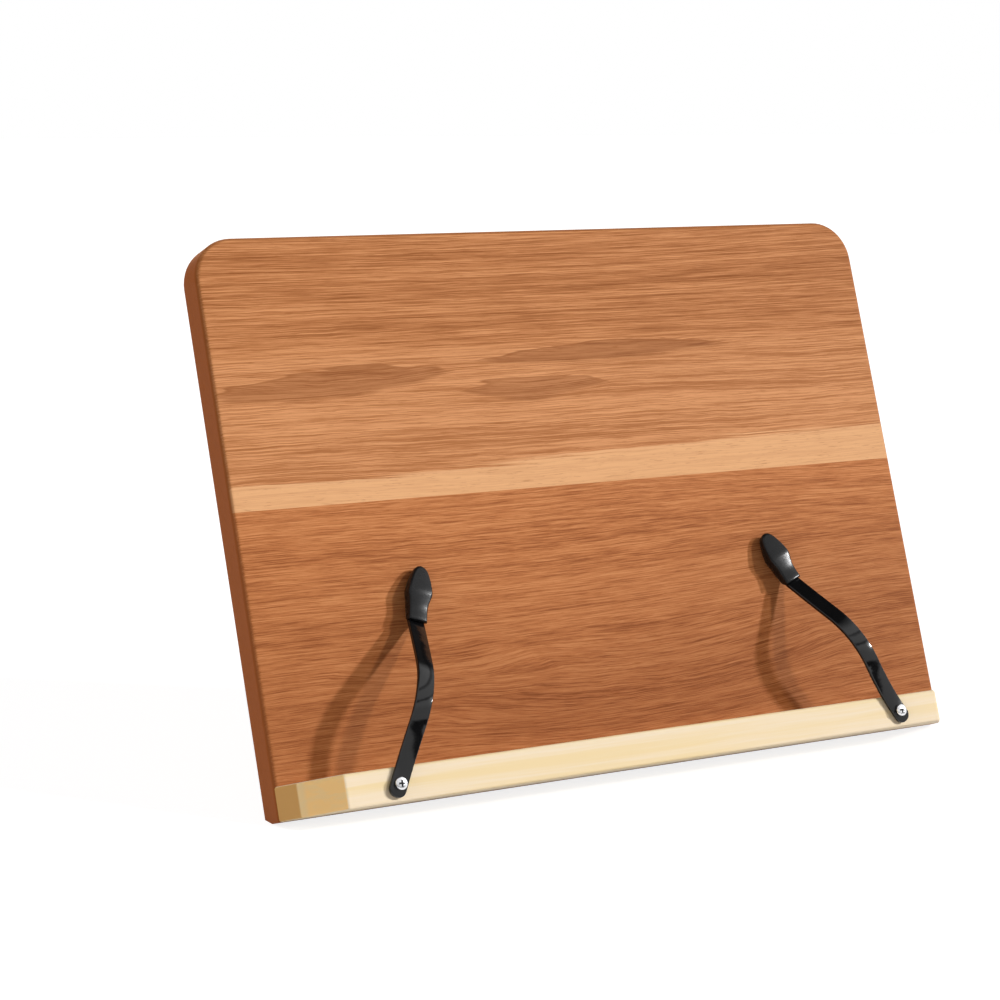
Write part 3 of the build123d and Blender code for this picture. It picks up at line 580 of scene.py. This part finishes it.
# Materials
class Nodes:
    """Builds a shader tree node by node."""

    def __init__(self, tree):
        self.tree = tree

    def node(self, kind, **settings):
        made = self.tree.nodes.new("ShaderNode" + kind)
        for key, value in settings.items():
            setattr(made, key, value)
        return made

    def feed(self, socket, value):
        """Link a socket to the input, or set the input to a number or a colour."""
        if isinstance(value, bpy.types.NodeSocket):
            self.tree.links.new(value, socket)
        else:
            socket.default_value = tuple(value) + (1,) if socket.type == "RGBA" else value

    def fed(self, made, *values):
        """The node's first output, once its first inputs have got these values."""
        for socket, value in zip(made.inputs, values):
            self.feed(socket, value)
        return made.outputs[0]

    def name_feed(self, made, **values):
        """Feed the node's inputs of these names."""
        for name, value in values.items():
            self.feed(made.inputs[name.replace("_", " ")], value)

    def math(self, operation, a, b=0.0, c=0.0):
        return self.fed(self.node("Math", operation=operation), a, b, c)

    times = partialmethod(math, "MULTIPLY")
    plus = partialmethod(math, "ADD")
    minus = partialmethod(math, "SUBTRACT")
    larger = partialmethod(math, "MAXIMUM")
    times_plus = partialmethod(math, "MULTIPLY_ADD")

    def between(self, value, low, high):
        """0 below low, 1 above high and smooth in between."""
        return self.fed(self.node("MapRange", interpolation_type="SMOOTHSTEP"), value, low, high, 0.0, 1.0)

    def below(self, value, low, high):
        """1 below low, 0 above high and smooth in between."""
        return self.minus(1.0, self.between(value, low, high))

    def mix(self, factor, a, b, blend="MIX"):
        made = self.node("Mix", data_type="RGBA", blend_type=blend)
        self.name_feed(made, Factor=factor, A=a, B=b)
        return made.outputs["Result"]

    def shaded(self, tone, shade, share):
        """The tone, multiplied by a shade to a share."""
        return self.mix(share, tone, self.mix(1.0, tone, shade, "MULTIPLY"))

    def ramp(self, value, stops):
        made = self.node("ValToRGB")
        elements = made.color_ramp.elements
        while len(elements) < len(stops):
            elements.new(0.5)
        for element, (place, tint) in zip(elements, stops):
            element.position = place
            element.color = tuple(tint) + (1,)
        return self.fed(made, value)

    def vector(self, x, y, z):
        return self.fed(self.node("CombineXYZ"), x, y, z)

    def split(self, vector):
        made = self.node("SeparateXYZ")
        self.fed(made, vector)
        return made.outputs

    def noise(self, vector, scale=1.0, detail=4.0, roughness=0.5):
        made = self.node("TexNoise", noise_dimensions="3D")
        self.name_feed(made, Vector=vector, Scale=scale, Detail=detail, Roughness=roughness)
        return made.outputs["Fac"]

    def object_mm(self, place=Matrix()):
        """Object coordinates in a part's own frame, in millimetres."""
        mapping = self.node("Mapping", vector_type="TEXTURE")
        self.name_feed(mapping, Vector=self.node("TexCoord").outputs["Object"],
                       Location=place.to_translation(), Rotation=place.to_euler())
        scale = self.node("VectorMath", operation="SCALE")
        self.name_feed(scale, Scale=1 / MM)
        return self.fed(scale, mapping.outputs[0])

    def stretched(self, at, scale, detail, roughness):
        """Noise with its own features a millimetre along each axis."""
        return self.noise(self.vector(*[self.times(a, k) for a, k in zip(self.split(at), scale)]),
                          1.0, detail, roughness)


class Finish(Nodes):
    """Material around one Principled shader."""

    def __init__(self, name, **constants):
        self.material = bpy.data.materials.new(name)
        self.material.use_nodes = True
        super().__init__(self.material.node_tree)
        self.shader = self.tree.nodes["Principled BSDF"]
        self.name_feed(self.shader, **constants)

    def coat(self, tone, roughness, height, distance, strength):
        """The material, given its colour, its roughness and its bump."""
        made = self.node("Bump")
        self.name_feed(made, Strength=strength, Distance=distance, Height=height)
        self.name_feed(self.shader, Base_Color=tone, Roughness=roughness, Normal=made.outputs[0])
        return self.material


# Layers of grain: features a millimetre along and across it, offset, detail and, if not the usual one,
# roughness; and how fast grain changes into the wood, as a share of how fast it does across.
OAK_LAYERS = {
    "slow": (0.004, 0.011, 0, 0.0), "ripple": (0.06, 0.07, 3, 1.0),
    "ripple places": (0.007, 0.014, 4, 1.0), "bands": (0.0022, 0.085, 5, 3.0),
    "streaks": (0.006, 0.9, 7, 4.0, 0.6), "hairs": (0.030, 2.3, 11, 4.0, 0.7),
    "line places": (0.006, 0.09, 13, 2.0), "pores": (0.13, 1.9, 17, 2.0),
    "specks": (0.25, 0.35, 19, 3.0), "ragged": (0.018, 0.22, 23, 2.0),
}
POPLAR_LAYERS = {"slow": (0.006, 0.03, 2, 2.0), "streaks": (0.004, 0.20, 4, 4.0, 0.6),
                 "hairs": (0.03, 1.3, 6, 3.0, 0.6), "glow": (0.02, 0.30, 9, 3.0)}
GRAIN_ROUGH = 0.55
DEPTH_SHARE = 0.4
# Oak: how far the slow layer and the depth push the grain, where its noise turns into ripples, figures,
# lines, zones, pores and specks, and the shares and tints of these.
SLOW_PUSH, DEPTH_PUSH = 16.0, 0.3
RIPPLE_PLACES = (0.3, 0.62)
LEAF_FLOOR, LEAF_RAGGED = -0.2, 1.3
LEAF_SHADE, LEAF_OUTER, LEAF_INNER, LEAF_UPPER = (-0.04, 0.35), (-0.10, 0.02), (0.02, 0.3), (-1.0, 2.0)
LEAF_TINT, LEAF_RIM = (0.66, 0.58, 0.51), 0.8
RING_SHARE, RINGS_A_MM = 0.5, 0.15
RING_RISE, RING_FALL, LINE_PLACES = (0.6, 0.95), (0.95, 1.0), (0.42, 0.62)
BAND_SHARE, STREAK_SHARE, HAIR_SHARE = 0.22, 0.24, 0.74
BODY_STOPS = (0.48, 0.60, 0.71)
PALE_PUSH, PALE_BODY = 20.0, (0.49, 0.69)
DARK_PUSH, DARK_TINT = 60.0, (0.72, 0.66, 0.62)
SAPWOOD_WANDER, SAPWOOD_EDGE, SAPWOOD_BODY = 14.0, (-1.5, 1.5), (0.49, 0.67)
SAPWOOD_EVEN, SAPWOOD_SHARE = 0.80, 0.92
PORE_PLACES, PORE_SHARE = (0.60, 0.72), 0.30
SPECK_STRETCH, SPECK_PLACES, SPECK_SHARE, SPECK_TINT = 3.0, (0.35, 0.65), 0.22, 0.72
ENDWISE = (0.55, 0.92)
ARRIS_RISE, ARRIS_FALL, ARRIS_SHARE = (0.1, 0.4), (0.86, 0.98), 0.5
OAK_ROUGH, BODY_ROUGH, PORE_ROUGH = 0.66, -0.15, 0.12
HAIR_RELIEF, PORE_RELIEF, OAK_BUMP = 0.5, -0.9, (0.00016, 0.5)


class Wood(Finish):
    """Wood in a part's frame: x along the grain, v into the part and u across the grain, in mm."""

    def __init__(self, name, place, layers, seed=0.0, along="X", gloss=0.09):
        super().__init__(name, Specular_IOR_Level=gloss)
        self.layers, self.seed = layers, seed
        self.x, self.v, self.u = self.split(self.object_mm(place))
        if along == "Z":
            self.x, self.u = self.u, self.x
        self.normal = self.node("TexCoord").outputs["Normal"]
        self.slow = self.layer("slow", self.u)

    def grain(self, x, v, height, along, across, offset, detail, roughness=GRAIN_ROUGH):
        """Noise drawn out along the grain."""
        at = self.vector(self.times(x, along), self.times_plus(v, across * DEPTH_SHARE, self.seed + offset),
                         self.times(height, across))
        return self.noise(at, 1.0, detail, roughness)

    def layer(self, name, height):
        return self.grain(self.x, self.v, height, *self.layers[name])


class Oak(Wood):
    """Oiled oak"""

    def rippled(self, ripple):
        """Height across the grain, pushed about as the grain's lines are."""
        height = self.times_plus(self.slow, SLOW_PUSH, self.times_plus(self.v, DEPTH_PUSH, self.u))
        share = self.times(self.between(self.layer("ripple places", self.u), *RIPPLE_PLACES), ripple)
        return self.plus(self.times(self.minus(self.layer("ripple", self.u), 0.5), share), height)

    def leaf(self, centre, middle, half, tall, tilt):
        """Height within a leaf shaped figure, 1 amid it and 0 on its outline, and the side of its spine."""
        aside = self.minus(self.x, centre)
        lifted = self.minus(self.times_plus(aside, -tilt, self.u), middle)
        lifted = self.times_plus(self.minus(self.slow, 0.5), SLOW_PUSH, lifted)
        dx = self.times(aside, 1 / half)
        du = self.times(self.math("ABSOLUTE", lifted), 1 / tall)
        return self.minus(self.minus(1.0, self.times(dx, dx)), du), lifted

    def figured(self, height, figures):
        """The height, pushed aside by the figures, their shade and their dark upper rims."""
        shade, rim = 0.0, 0.0
        ragged = self.minus(self.layer("ragged", self.u), 0.5)
        for *shape, rise, depth in figures:
            leaf, lifted = self.leaf(*shape)
            height = self.times_plus(self.larger(leaf, LEAF_FLOOR), rise, height)
            leaf = self.times_plus(ragged, LEAF_RAGGED, leaf)
            shade = self.larger(shade, self.times(self.between(leaf, *LEAF_SHADE), depth))
            outline = self.times(self.between(leaf, *LEAF_OUTER), self.below(leaf, *LEAF_INNER))
            rim = self.larger(rim, self.times(self.times(outline, self.between(lifted, *LEAF_UPPER)), depth))
        return height, shade, rim

    def growth_line(self, height, streaks):
        """1 along the dark growth lines, where there are any."""
        rings = self.math("FRACT", self.times_plus(streaks, RING_SHARE, self.times(height, RINGS_A_MM)))
        line = self.times(self.between(rings, *RING_RISE), self.below(rings, *RING_FALL))
        return self.times(line, self.between(self.layer("line places", height), *LINE_PLACES))

    def zone(self, push, low, high):
        """1 below a wandering line across the grain that runs from low to high, and 0 above it."""
        return self.below(self.times_plus(self.slow, push, self.u), low + push / 2, high + push / 2)

    def sapwood_band(self, streaks, left, right):
        """1 below a line across the board from the height left at one end to right at the other."""
        end = round(sizes().board_width / 2 / MM, 3)
        edge = self.times_plus(self.between(self.x, -end, end), right - left, left)
        edge = self.times_plus(self.minus(streaks, 0.5), SAPWOOD_WANDER, edge)
        return self.below(self.minus(self.u, edge), *SAPWOOD_EDGE)

    def arris(self, place):
        """1 where a front edge turns away."""
        front = place.to_3x3() @ Vector((0, -1, 0))
        made = self.node("VectorMath", operation="DOT_PRODUCT")
        self.fed(made, self.normal, front)
        facing = made.outputs["Value"]
        return self.times(self.between(facing, *ARRIS_RISE), self.below(facing, *ARRIS_FALL))


def oak(name, place, tones, seed, along="X", ripple=1.5, hair=None, line_depth=0.045, figures=(),
        pale_zone=None, dark_zone=None, sapwood=None):
    """Oiled oak of light, mid, dark and end tones; the grain runs along X or Z of the part's frame."""
    light, mid, dark, end = tones
    layers = dict(OAK_LAYERS)
    if hair:
        layers["hairs"] = (hair,) + layers["hairs"][1:]
    f = Oak(name, place, layers, seed, along)
    height, shade, rim = f.figured(f.rippled(ripple), figures)
    streaks = f.layer("streaks", height)
    hairs = f.layer("hairs", height)
    body = f.times_plus(f.layer("bands", height), BAND_SHARE, f.times(streaks, STREAK_SHARE))
    body = f.times_plus(hairs, HAIR_SHARE, body)
    body = f.times_plus(f.growth_line(height, streaks), -line_depth, body)
    tone = f.ramp(body, list(zip(BODY_STOPS, (dark, mid, light))))
    if pale_zone:
        pale, low, high, share = pale_zone
        share = f.times(f.zone(PALE_PUSH, low, high), share)
        tone = f.mix(share, tone, f.mix(f.between(body, *PALE_BODY), mid, pale))
    if dark_zone:
        low, high, share = dark_zone
        tone = f.shaded(tone, DARK_TINT, f.times(f.zone(DARK_PUSH, low, high), share))
    if figures:
        tone = f.mix(f.times(rim, LEAF_RIM), f.shaded(tone, LEAF_TINT, shade), dark)
    if sapwood:
        pale, left, right = sapwood
        soft = f.mix(SAPWOOD_EVEN, f.mix(f.between(body, *SAPWOOD_BODY), mid, pale), pale)
        tone = f.mix(f.times(f.sapwood_band(streaks, left, right), SAPWOOD_SHARE), tone, soft)
    dashes = f.between(f.layer("pores", height), *PORE_PLACES)
    tone = f.mix(f.times(dashes, PORE_SHARE), tone, dark)
    specks = f.grain(f.times(f.v, SPECK_STRETCH), f.x, f.u, *layers["specks"])
    specks = f.times(f.between(specks, *SPECK_PLACES), SPECK_SHARE)
    endwise = f.math("ABSOLUTE", f.split(f.normal)[0 if along == "X" else 2])
    tone = f.mix(f.between(endwise, *ENDWISE), tone, f.mix(specks, end, [k * SPECK_TINT for k in end]))
    tone = f.mix(f.times(f.arris(place), ARRIS_SHARE), tone, dark)
    roughness = f.times_plus(dashes, PORE_ROUGH, f.times_plus(body, BODY_ROUGH, OAK_ROUGH))
    return f.coat(tone, roughness, f.times_plus(dashes, PORE_RELIEF, f.times(hairs, HAIR_RELIEF)), *OAK_BUMP)


# Poplar: as oak's. On the ledge's slanting ends, the olive and the paler band fade out at places in
# millimetres behind the board's front, and a face has to slant so far to be an end.
POPLAR_PUSH, POPLAR_DEPTH_PUSH = 8.0, 0.25
STREAK_PLACES, HAIR_PLACES, POPLAR_HAIR_SHARE = (0.40, 0.66), (0.40, 0.68), 0.30
GLOW_PLACES, GLOW_SHARE = (0.40, 0.62), 0.3
OLIVE_BAND, OLIVE_SHARE = (-9.4, -8.6), 0.95
PALER_BAND, PALER_SHARE = (-13.0, -10.8), 0.5
ASLANT, RIGHT_END_SHARE = (0.35, 0.7), 0.4
POPLAR_ROUGH, POPLAR_HAIR_ROUGH, POPLAR_BUMP = 0.48, 0.12, (0.0001, 0.35)


def poplar(name, place):
    """Pale ledge wood with straight faint streaks and banded slanting ends, the left one stronger."""
    c = colours()
    f = Wood(name, place, POPLAR_LAYERS, gloss=0.16)
    height = f.times_plus(f.slow, POPLAR_PUSH, f.times_plus(f.v, POPLAR_DEPTH_PUSH, f.u))
    hairs = f.layer("hairs", height)
    tone = f.mix(f.between(f.layer("streaks", height), *STREAK_PLACES), c.poplar, c.poplar_streak)
    tone = f.mix(f.times(f.between(hairs, *HAIR_PLACES), POPLAR_HAIR_SHARE), tone, c.poplar_streak)
    glow = f.times(f.between(f.layer("glow", f.u), *GLOW_PLACES), GLOW_SHARE)
    ends = f.mix(glow, c.poplar_end, c.poplar_streak)
    ends = f.mix(f.times(f.between(f.v, *PALER_BAND), PALER_SHARE), ends, c.poplar_streak)
    ends = f.mix(f.times(f.between(f.v, *OLIVE_BAND), OLIVE_SHARE), ends, c.poplar_end_dark)
    aslant = f.split(f.normal)[0]
    left_end = f.between(f.times(aslant, -1.0), *ASLANT)
    share = f.times_plus(f.between(aslant, *ASLANT), RIGHT_END_SHARE, left_end)
    roughness = f.times_plus(hairs, POPLAR_HAIR_ROUGH, POPLAR_ROUGH)
    return f.coat(f.mix(share, tone, ends), roughness, hairs, *POPLAR_BUMP)


# Coats: the clouds' features a millimetre, how much lighter they are, their share of the roughness and
# its least, the bump's distance and strength, and the noise of a fine grain.
CLOUD_SPAN = (0.3, 0.7)
ENAMEL = {"gloss": 0.5, "cloud": 0.22, "lighter": 1.5, "rough": (0.04, 0.06), "bump": (0.0001, 0.4)}
RUBBER = {"gloss": 0.27, "cloud": 0.16, "lighter": 1.35, "rough": (0.10, 0.22), "bump": (0.00005, 0.3),
          "fine": (3.2, 3.0, 0.6)}
MOTTLE_SPAN, MOTTLE_SHADE = (0.25, 0.75), 0.82
# Where the recess mark is full, and the tint's share in the painted shade of a screw's recess
RECESS_TO, RECESS_SHADE = 0.7, 0.06


def coated(name, tint, gloss, cloud, lighter, rough, bump, fine=None):
    """Even enamel or rubber, a little clouded."""
    f = Finish(name, Specular_IOR_Level=gloss)
    at = f.object_mm()
    clouds = f.noise(at, cloud, 2.0)
    tone = f.mix(f.between(clouds, *CLOUD_SPAN), tint, [k * lighter for k in tint])
    return f.coat(tone, f.times_plus(clouds, *rough), f.noise(at, *fine) if fine else clouds, *bump)


def metal(name, tint, rough, scale):
    """Plated or rolled metal with faint drawing lines, and painted shade in a screw's recess."""
    f = Finish(name, Metallic=1.0)
    at = f.object_mm()
    lines = f.stretched(at, scale, 3.0, 0.55)
    recess = f.node("Attribute", attribute_name="recess").outputs["Fac"]
    mottle = f.between(f.noise(at, 0.12, 2.0), *MOTTLE_SPAN)
    tone = f.mix(mottle, tint, [k * MOTTLE_SHADE for k in tint])
    # Painted shade in a screw's recess, where little light reaches
    tone = f.mix(f.between(recess, 0.0, RECESS_TO), tone, [k * RECESS_SHADE for k in tint])
    return f.coat(tone, f.times_plus(lines, 0.14, rough), lines, 0.00003, 0.3)


def beech(name, tint):
    """Plain dowel wood"""
    f = Finish(name, Specular_IOR_Level=0.3)
    flecks = f.stretched(f.object_mm(), (1.2, 1.2, 0.12), 3.0, 0.5)
    tone = f.mix(f.between(flecks, 0.4, 0.7), tint, [k * 0.7 for k in tint])
    return f.coat(tone, 0.6, flecks, 0.0001, 0.3)


# Leaf shaped figures of the two staves: centre along and up the board, half length, half height,
# tilt, how far they push the grain aside, and how dark they are.
FIGURES = ((-134.0, 203.0, 66.0, 8.0, 0.05, 3.0, 0.85), (30.0, 213.0, 78.0, 6.0, 0.02, 2.5, 1.0),
           (-20.0, 195.5, 44.0, 6.5, 0.0, 2.0, 0.75))
LOWER_FIGURES = ((15.0, 42.0, 118.0, 30.0, 0.05, 7.0, 0.2), (-95.0, 62.0, 60.0, 14.0, -0.05, 4.0, 0.12))


def finish_of(name):
    """The named finish, made once."""
    c, place = colours(), board_frame()
    oak_tones = (c.oak_light, c.oak_mid, c.oak_dark, c.oak_end)
    red_tones = (c.red_light, c.red_mid, c.red_dark, c.oak_end)
    makers = {
        "upper oak": lambda: oak(name, place, oak_tones, 1.7, figures=FIGURES,
                                 pale_zone=(c.oak_pale, 212.0, 222.0, 0.6),
                                 sapwood=(c.sapwood, 157.5, 164.5)),
        "lower oak": lambda: oak(name, place, red_tones, 6.3, figures=LOWER_FIGURES, ripple=1.2,
                                 hair=0.05, line_depth=0.012, dark_zone=(40.0, 160.0, 0.7)),
        "leg oak": lambda: oak(name, leg_frame(), oak_tones, 12.1, along="Z"),
        "batten oak": lambda: oak(name, place, red_tones, 21.4),
        "ledge poplar": lambda: poplar(name, place),
        "beech": lambda: beech(name, c.beech),
        "black enamel": lambda: coated(name, c.enamel, **ENAMEL),
        "cap rubber": lambda: coated(name, c.rubber, **RUBBER),
        "pad rubber": lambda: coated(name, c.pad, **RUBBER),
        "bright steel": lambda: metal(name, c.bright_steel, 0.16, (0.8, 0.8, 0.8)),
        "plain steel": lambda: metal(name, c.plain_steel, 0.26, (0.25, 3.0, 3.0)),
        "zinc": lambda: metal(name, c.zinc, 0.30, (2.0, 2.0, 0.3)),
        "brass": lambda: metal(name, c.brass, 0.22, (1.0, 1.0, 1.0)),
    }
    return bpy.data.materials.get(name) or makers[name]()


def finish_nodes(finishes):
    """Give solids of the frame their finishes, by node."""
    for node, finish in finishes.items():
        paint(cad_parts[node], finish_of(finish))


# Operators
class STAND_OT_board(Operator):
    """Finish the board's two staves, their dowels, the ledge and the hinge batten"""
    bl_idname = "stand.board"
    bl_label = "Finish Board"

    def execute(self, context):
        finish_nodes({"upper_stave": "upper oak", "lower_stave": "lower oak", "stave_dowels": "beech",
                      "page_ledge": "ledge poplar", "hinge_batten": "batten oak"})
        return {"FINISHED"}


class STAND_OT_arms(Operator):
    """Make the two sprung strips and their rubber caps"""
    bl_idname = "stand.arms"
    bl_label = "Make Page Arms"

    def execute(self, context):
        for side, hand in ((-1, "left"), (1, "right")):
            place = arm_frame(side)
            strip = strip_mesh(hand + "_arm_strip")
            stand_at(strip, place, STRIP_SHARP)
            paint(strip, finish_of("black enamel"))
            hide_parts(hand + "_arm_base", hand + "_arm_spring")
            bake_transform(strip)
            cap = cap_mesh(hand + "_spade_cap")
            stand_at(cap, place, CAP_SHARP)
            finish_piece(cap, finish_of("cap rubber"), hand + "_spring", [hand + "_tip_cap"])
        return {"FINISHED"}


class STAND_OT_screws(Operator):
    """Set every screw where the frame has it, with geometry nodes"""
    bl_idname = "stand.screws"
    bl_label = "Set Screws"

    def execute(self, context):
        s = context.scene.stand_sizes
        bright = finish_of("bright steel")
        front = board_frame().to_3x3() @ Vector((0, -1, 0))
        leg_front = leg_frame().to_3x3() @ Vector((0, -1, 0))
        right = Vector((1, 0, 0))
        arm_head, wood_head = (s.arm_head_radius, s.arm_head_height), (s.wood_head_radius, 0.0)
        rows = (("left_pivot_screw", "left_arm_screw", "board", front, *arm_head),
                ("right_pivot_screw", "right_arm_screw", "board", front, *arm_head),
                ("ledge_wood_screws", "ledge_screws", "board", -front, s.ledge_head_radius, 0.0),
                ("batten_wood_screws", "batten_screws", "board", -front, *wood_head),
                ("leaf_board_screws", "hinge_board_screws", "board", -front, *wood_head),
                ("leaf_leg_screws", "hinge_leg_screws", "leg", leg_front, *wood_head),
                ("rail_pan_screws", "rail_screws", "board", -front, s.wood_head_radius, s.pan_head_height),
                ("stay_pan_screw", "stay_pivot_screw", "leg", right, s.arm_head_radius, s.pan_head_height))
        for name, node, body, outward, head, height in rows:
            spots, long_, shank = screw_spots(node, outward, height)
            form = screw_template(name + "_form", shank, head, height, long_)
            piece = screws_on(name, spots, outward, form, bright)
            bpy.data.objects.remove(form)
            finish_piece(piece, bright, body, [node])
        return {"FINISHED"}


class STAND_OT_rear(Operator):
    """Finish the leg, hinges, slotted stay and clamp behind the board"""
    bl_idname = "stand.rear"
    bl_label = "Finish Rear Hardware"

    def execute(self, context):
        finishes = {"rear_leg": "leg oak", "leg_foot_pads": "pad rubber", "stay_rail": "zinc",
                    "stay_link": "zinc", "stay_spacer": "plain steel", "clamp_washer": "plain steel",
                    "clamp_bolt": "bright steel", "clamp_thumb_nut": "brass"}
        for hand in ("left", "right"):
            for part in ("board_leaf", "leg_leaf", "pin"):
                finishes[hand + "_hinge_" + part] = "plain steel"
        finish_nodes(finishes)
        return {"FINISHED"}


class STAND_OT_stage(Operator):
    """Set the floor, the lamps, the world and the camera"""
    bl_idname = "stand.stage"
    bl_label = "Set Stage"

    def execute(self, context):
        make_floor()
        make_world(context.scene)
        for lamp in LAMPS:
            make_lamp(*lamp)
        make_camera(context.scene)
        context.scene.view_settings.view_transform = "Standard"
        return {"FINISHED"}


# Stage
WORLD_LEVEL, WORLD_LEFT_SHARE = 0.15, 0.7
# Brightness of what gloss mirrors, by height tilted up to the right: a dark foot, a low wall of light,
# two soft boxes with a dark line below each and a dark ceiling.
MIRROR_TILT = 0.12
MIRROR_BANDS = ((0.0, 0.05), (0.145, 0.05), (0.18, 0.85), (0.38, 0.85), (0.48, 1.1), (0.52, 1.1), (0.54, 0.2),
                (0.555, 0.2), (0.585, 1.0), (0.70, 1.1), (0.73, 0.4), (0.745, 0.4), (0.765, 1.2), (0.85, 1.1),
                (0.95, 0.05))
# Behind the stand and high up, gloss mirrors next to nothing
DIM_BEHIND, DIM_ABOVE, DIMMING = (-0.02, 0.2), (0.45, 0.6), 0.93
FLOOR_HALF, FLOOR_GLOW, FLOOR_GLOW_SHARE = 30.0, 1.65, 0.5
# Name, direction it shines from, power, how wide it looks in degrees, and whether gloss mirrors it
LAMPS = (("key_lamp", (0.738, -0.561, 0.374), 2.1, 3.5, True),
         ("second_lamp", (0.569, -0.611, 0.551), 1.15, 5.0, False),
         ("fill_lamp", (-0.98, -0.03, 0.20), 1.15, 60.0, False),
         ("rear_lamp", (-0.35, 0.80, 0.48), 1.3, 30.0, False))
LAMP_DISTANCE = 3.0
CAMERA_AT = Vector((-0.6765, -1.0503, 0.3261))
CAMERA_TURN = (math.radians(81.37), 0.0, math.radians(-30.0))
CAMERA_LENS, CAMERA_SENSOR = 91.69, 36.0


def make_floor():
    """White floor that keeps the stand's shadow."""
    h = FLOOR_HALF
    floor = new_object("floor", [(-h, -h, 0), (h, -h, 0), (h, h, 0), (-h, h, 0)], [(0, 1, 2, 3)])
    material = bpy.data.materials.new("floor")
    material.use_nodes = True
    material.node_tree.nodes.clear()
    f = Nodes(material.node_tree)
    path = f.node("LightPath").outputs
    seen = f.larger(f.larger(path["Is Camera Ray"], path["Is Glossy Ray"]), path["Is Transmission Ray"])
    matt = f.fed(f.node("BsdfDiffuse"), colours().floor)
    glow = f.fed(f.node("Emission"), (1, 1, 1), FLOOR_GLOW)
    blend = f.fed(f.node("MixShader"), f.times(seen, FLOOR_GLOW_SHARE), matt, glow)
    f.feed(f.node("OutputMaterial").inputs["Surface"], blend)
    paint(floor, material)


def make_world(scene):
    """White to the camera, a dim fill from the left on matt surfaces, and soft boxes for gloss to mirror."""
    world = bpy.data.worlds.new("studio")
    world.use_nodes = True
    world.node_tree.nodes.clear()
    f = Nodes(world.node_tree)
    across, back, up = f.split(f.node("TexCoord").outputs["Generated"])
    fill = f.times_plus(across, -WORLD_LEVEL * WORLD_LEFT_SHARE, WORLD_LEVEL)
    tilted = f.times_plus(across, MIRROR_TILT, up)
    bands = f.ramp(tilted, [(height, [level] * 3) for height, level in MIRROR_BANDS])
    dimmed = f.times(f.between(back, *DIM_BEHIND), f.between(up, *DIM_ABOVE))
    mirrored = f.times(bands, f.times_plus(dimmed, -DIMMING, 1.0))
    path = f.node("LightPath").outputs
    strength = f.plus(f.times(path["Is Diffuse Ray"], fill), f.times(path["Is Glossy Ray"], mirrored))
    seen = f.larger(path["Is Camera Ray"], path["Is Transmission Ray"])
    light = f.fed(f.node("Background"), (1, 1, 1), f.plus(strength, seen))
    f.feed(f.node("OutputWorld").inputs["Surface"], light)
    scene.world = world


def make_lamp(name, direction, power, spread, mirrored):
    """Distant lamp"""
    data = bpy.data.lights.new(name, "SUN")
    data.energy = power
    data.angle = math.radians(spread)
    lamp = in_scene(name, data)
    lamp.visible_glossy = mirrored
    lamp.location = Vector(direction) * LAMP_DISTANCE
    lamp.rotation_euler = (-Vector(direction)).to_track_quat("-Z", "Y").to_euler()


def make_camera(scene):
    data = bpy.data.cameras.new("camera")
    data.lens = CAMERA_LENS
    data.sensor_width = CAMERA_SENSOR
    camera = in_scene("camera", data)
    camera.location = CAMERA_AT
    camera.rotation_euler = CAMERA_TURN
    scene.camera = camera


class STAND_PT_panel(Panel):
    """Builds the reading stand piece by piece"""
    bl_idname = "STAND_PT_panel"
    bl_label = "Reading Stand"
    bl_space_type = "VIEW_3D"
    bl_region_type = "UI"
    bl_category = "Stand"

    def draw(self, context):
        for step in STEPS:
            self.layout.operator(step.bl_idname)
        for group in (context.scene.stand_sizes, context.scene.stand_colours):
            box = self.layout.box()
            for name in group.bl_rna.properties.keys():
                if name not in ("rna_type", "name"):
                    box.prop(group, name)


STEPS = (STAND_OT_board, STAND_OT_arms, STAND_OT_screws, STAND_OT_rear, STAND_OT_stage)
CLASSES = (StandSizes, StandColours) + STEPS + (STAND_PT_panel,)


def register():
    for cls in CLASSES:
        bpy.utils.register_class(cls)
    bpy.types.Scene.stand_sizes = PointerProperty(type=StandSizes)
    bpy.types.Scene.stand_colours = PointerProperty(type=StandColours)


def unregister():
    del bpy.types.Scene.stand_colours
    del bpy.types.Scene.stand_sizes
    for cls in reversed(CLASSES):
        bpy.utils.unregister_class(cls)


def main():
    register()
    bpy.ops.stand.board()
    bpy.ops.stand.arms()
    bpy.ops.stand.screws()
    bpy.ops.stand.rear()
    bpy.ops.stand.stage()


if __name__ == "__main__":
    main()
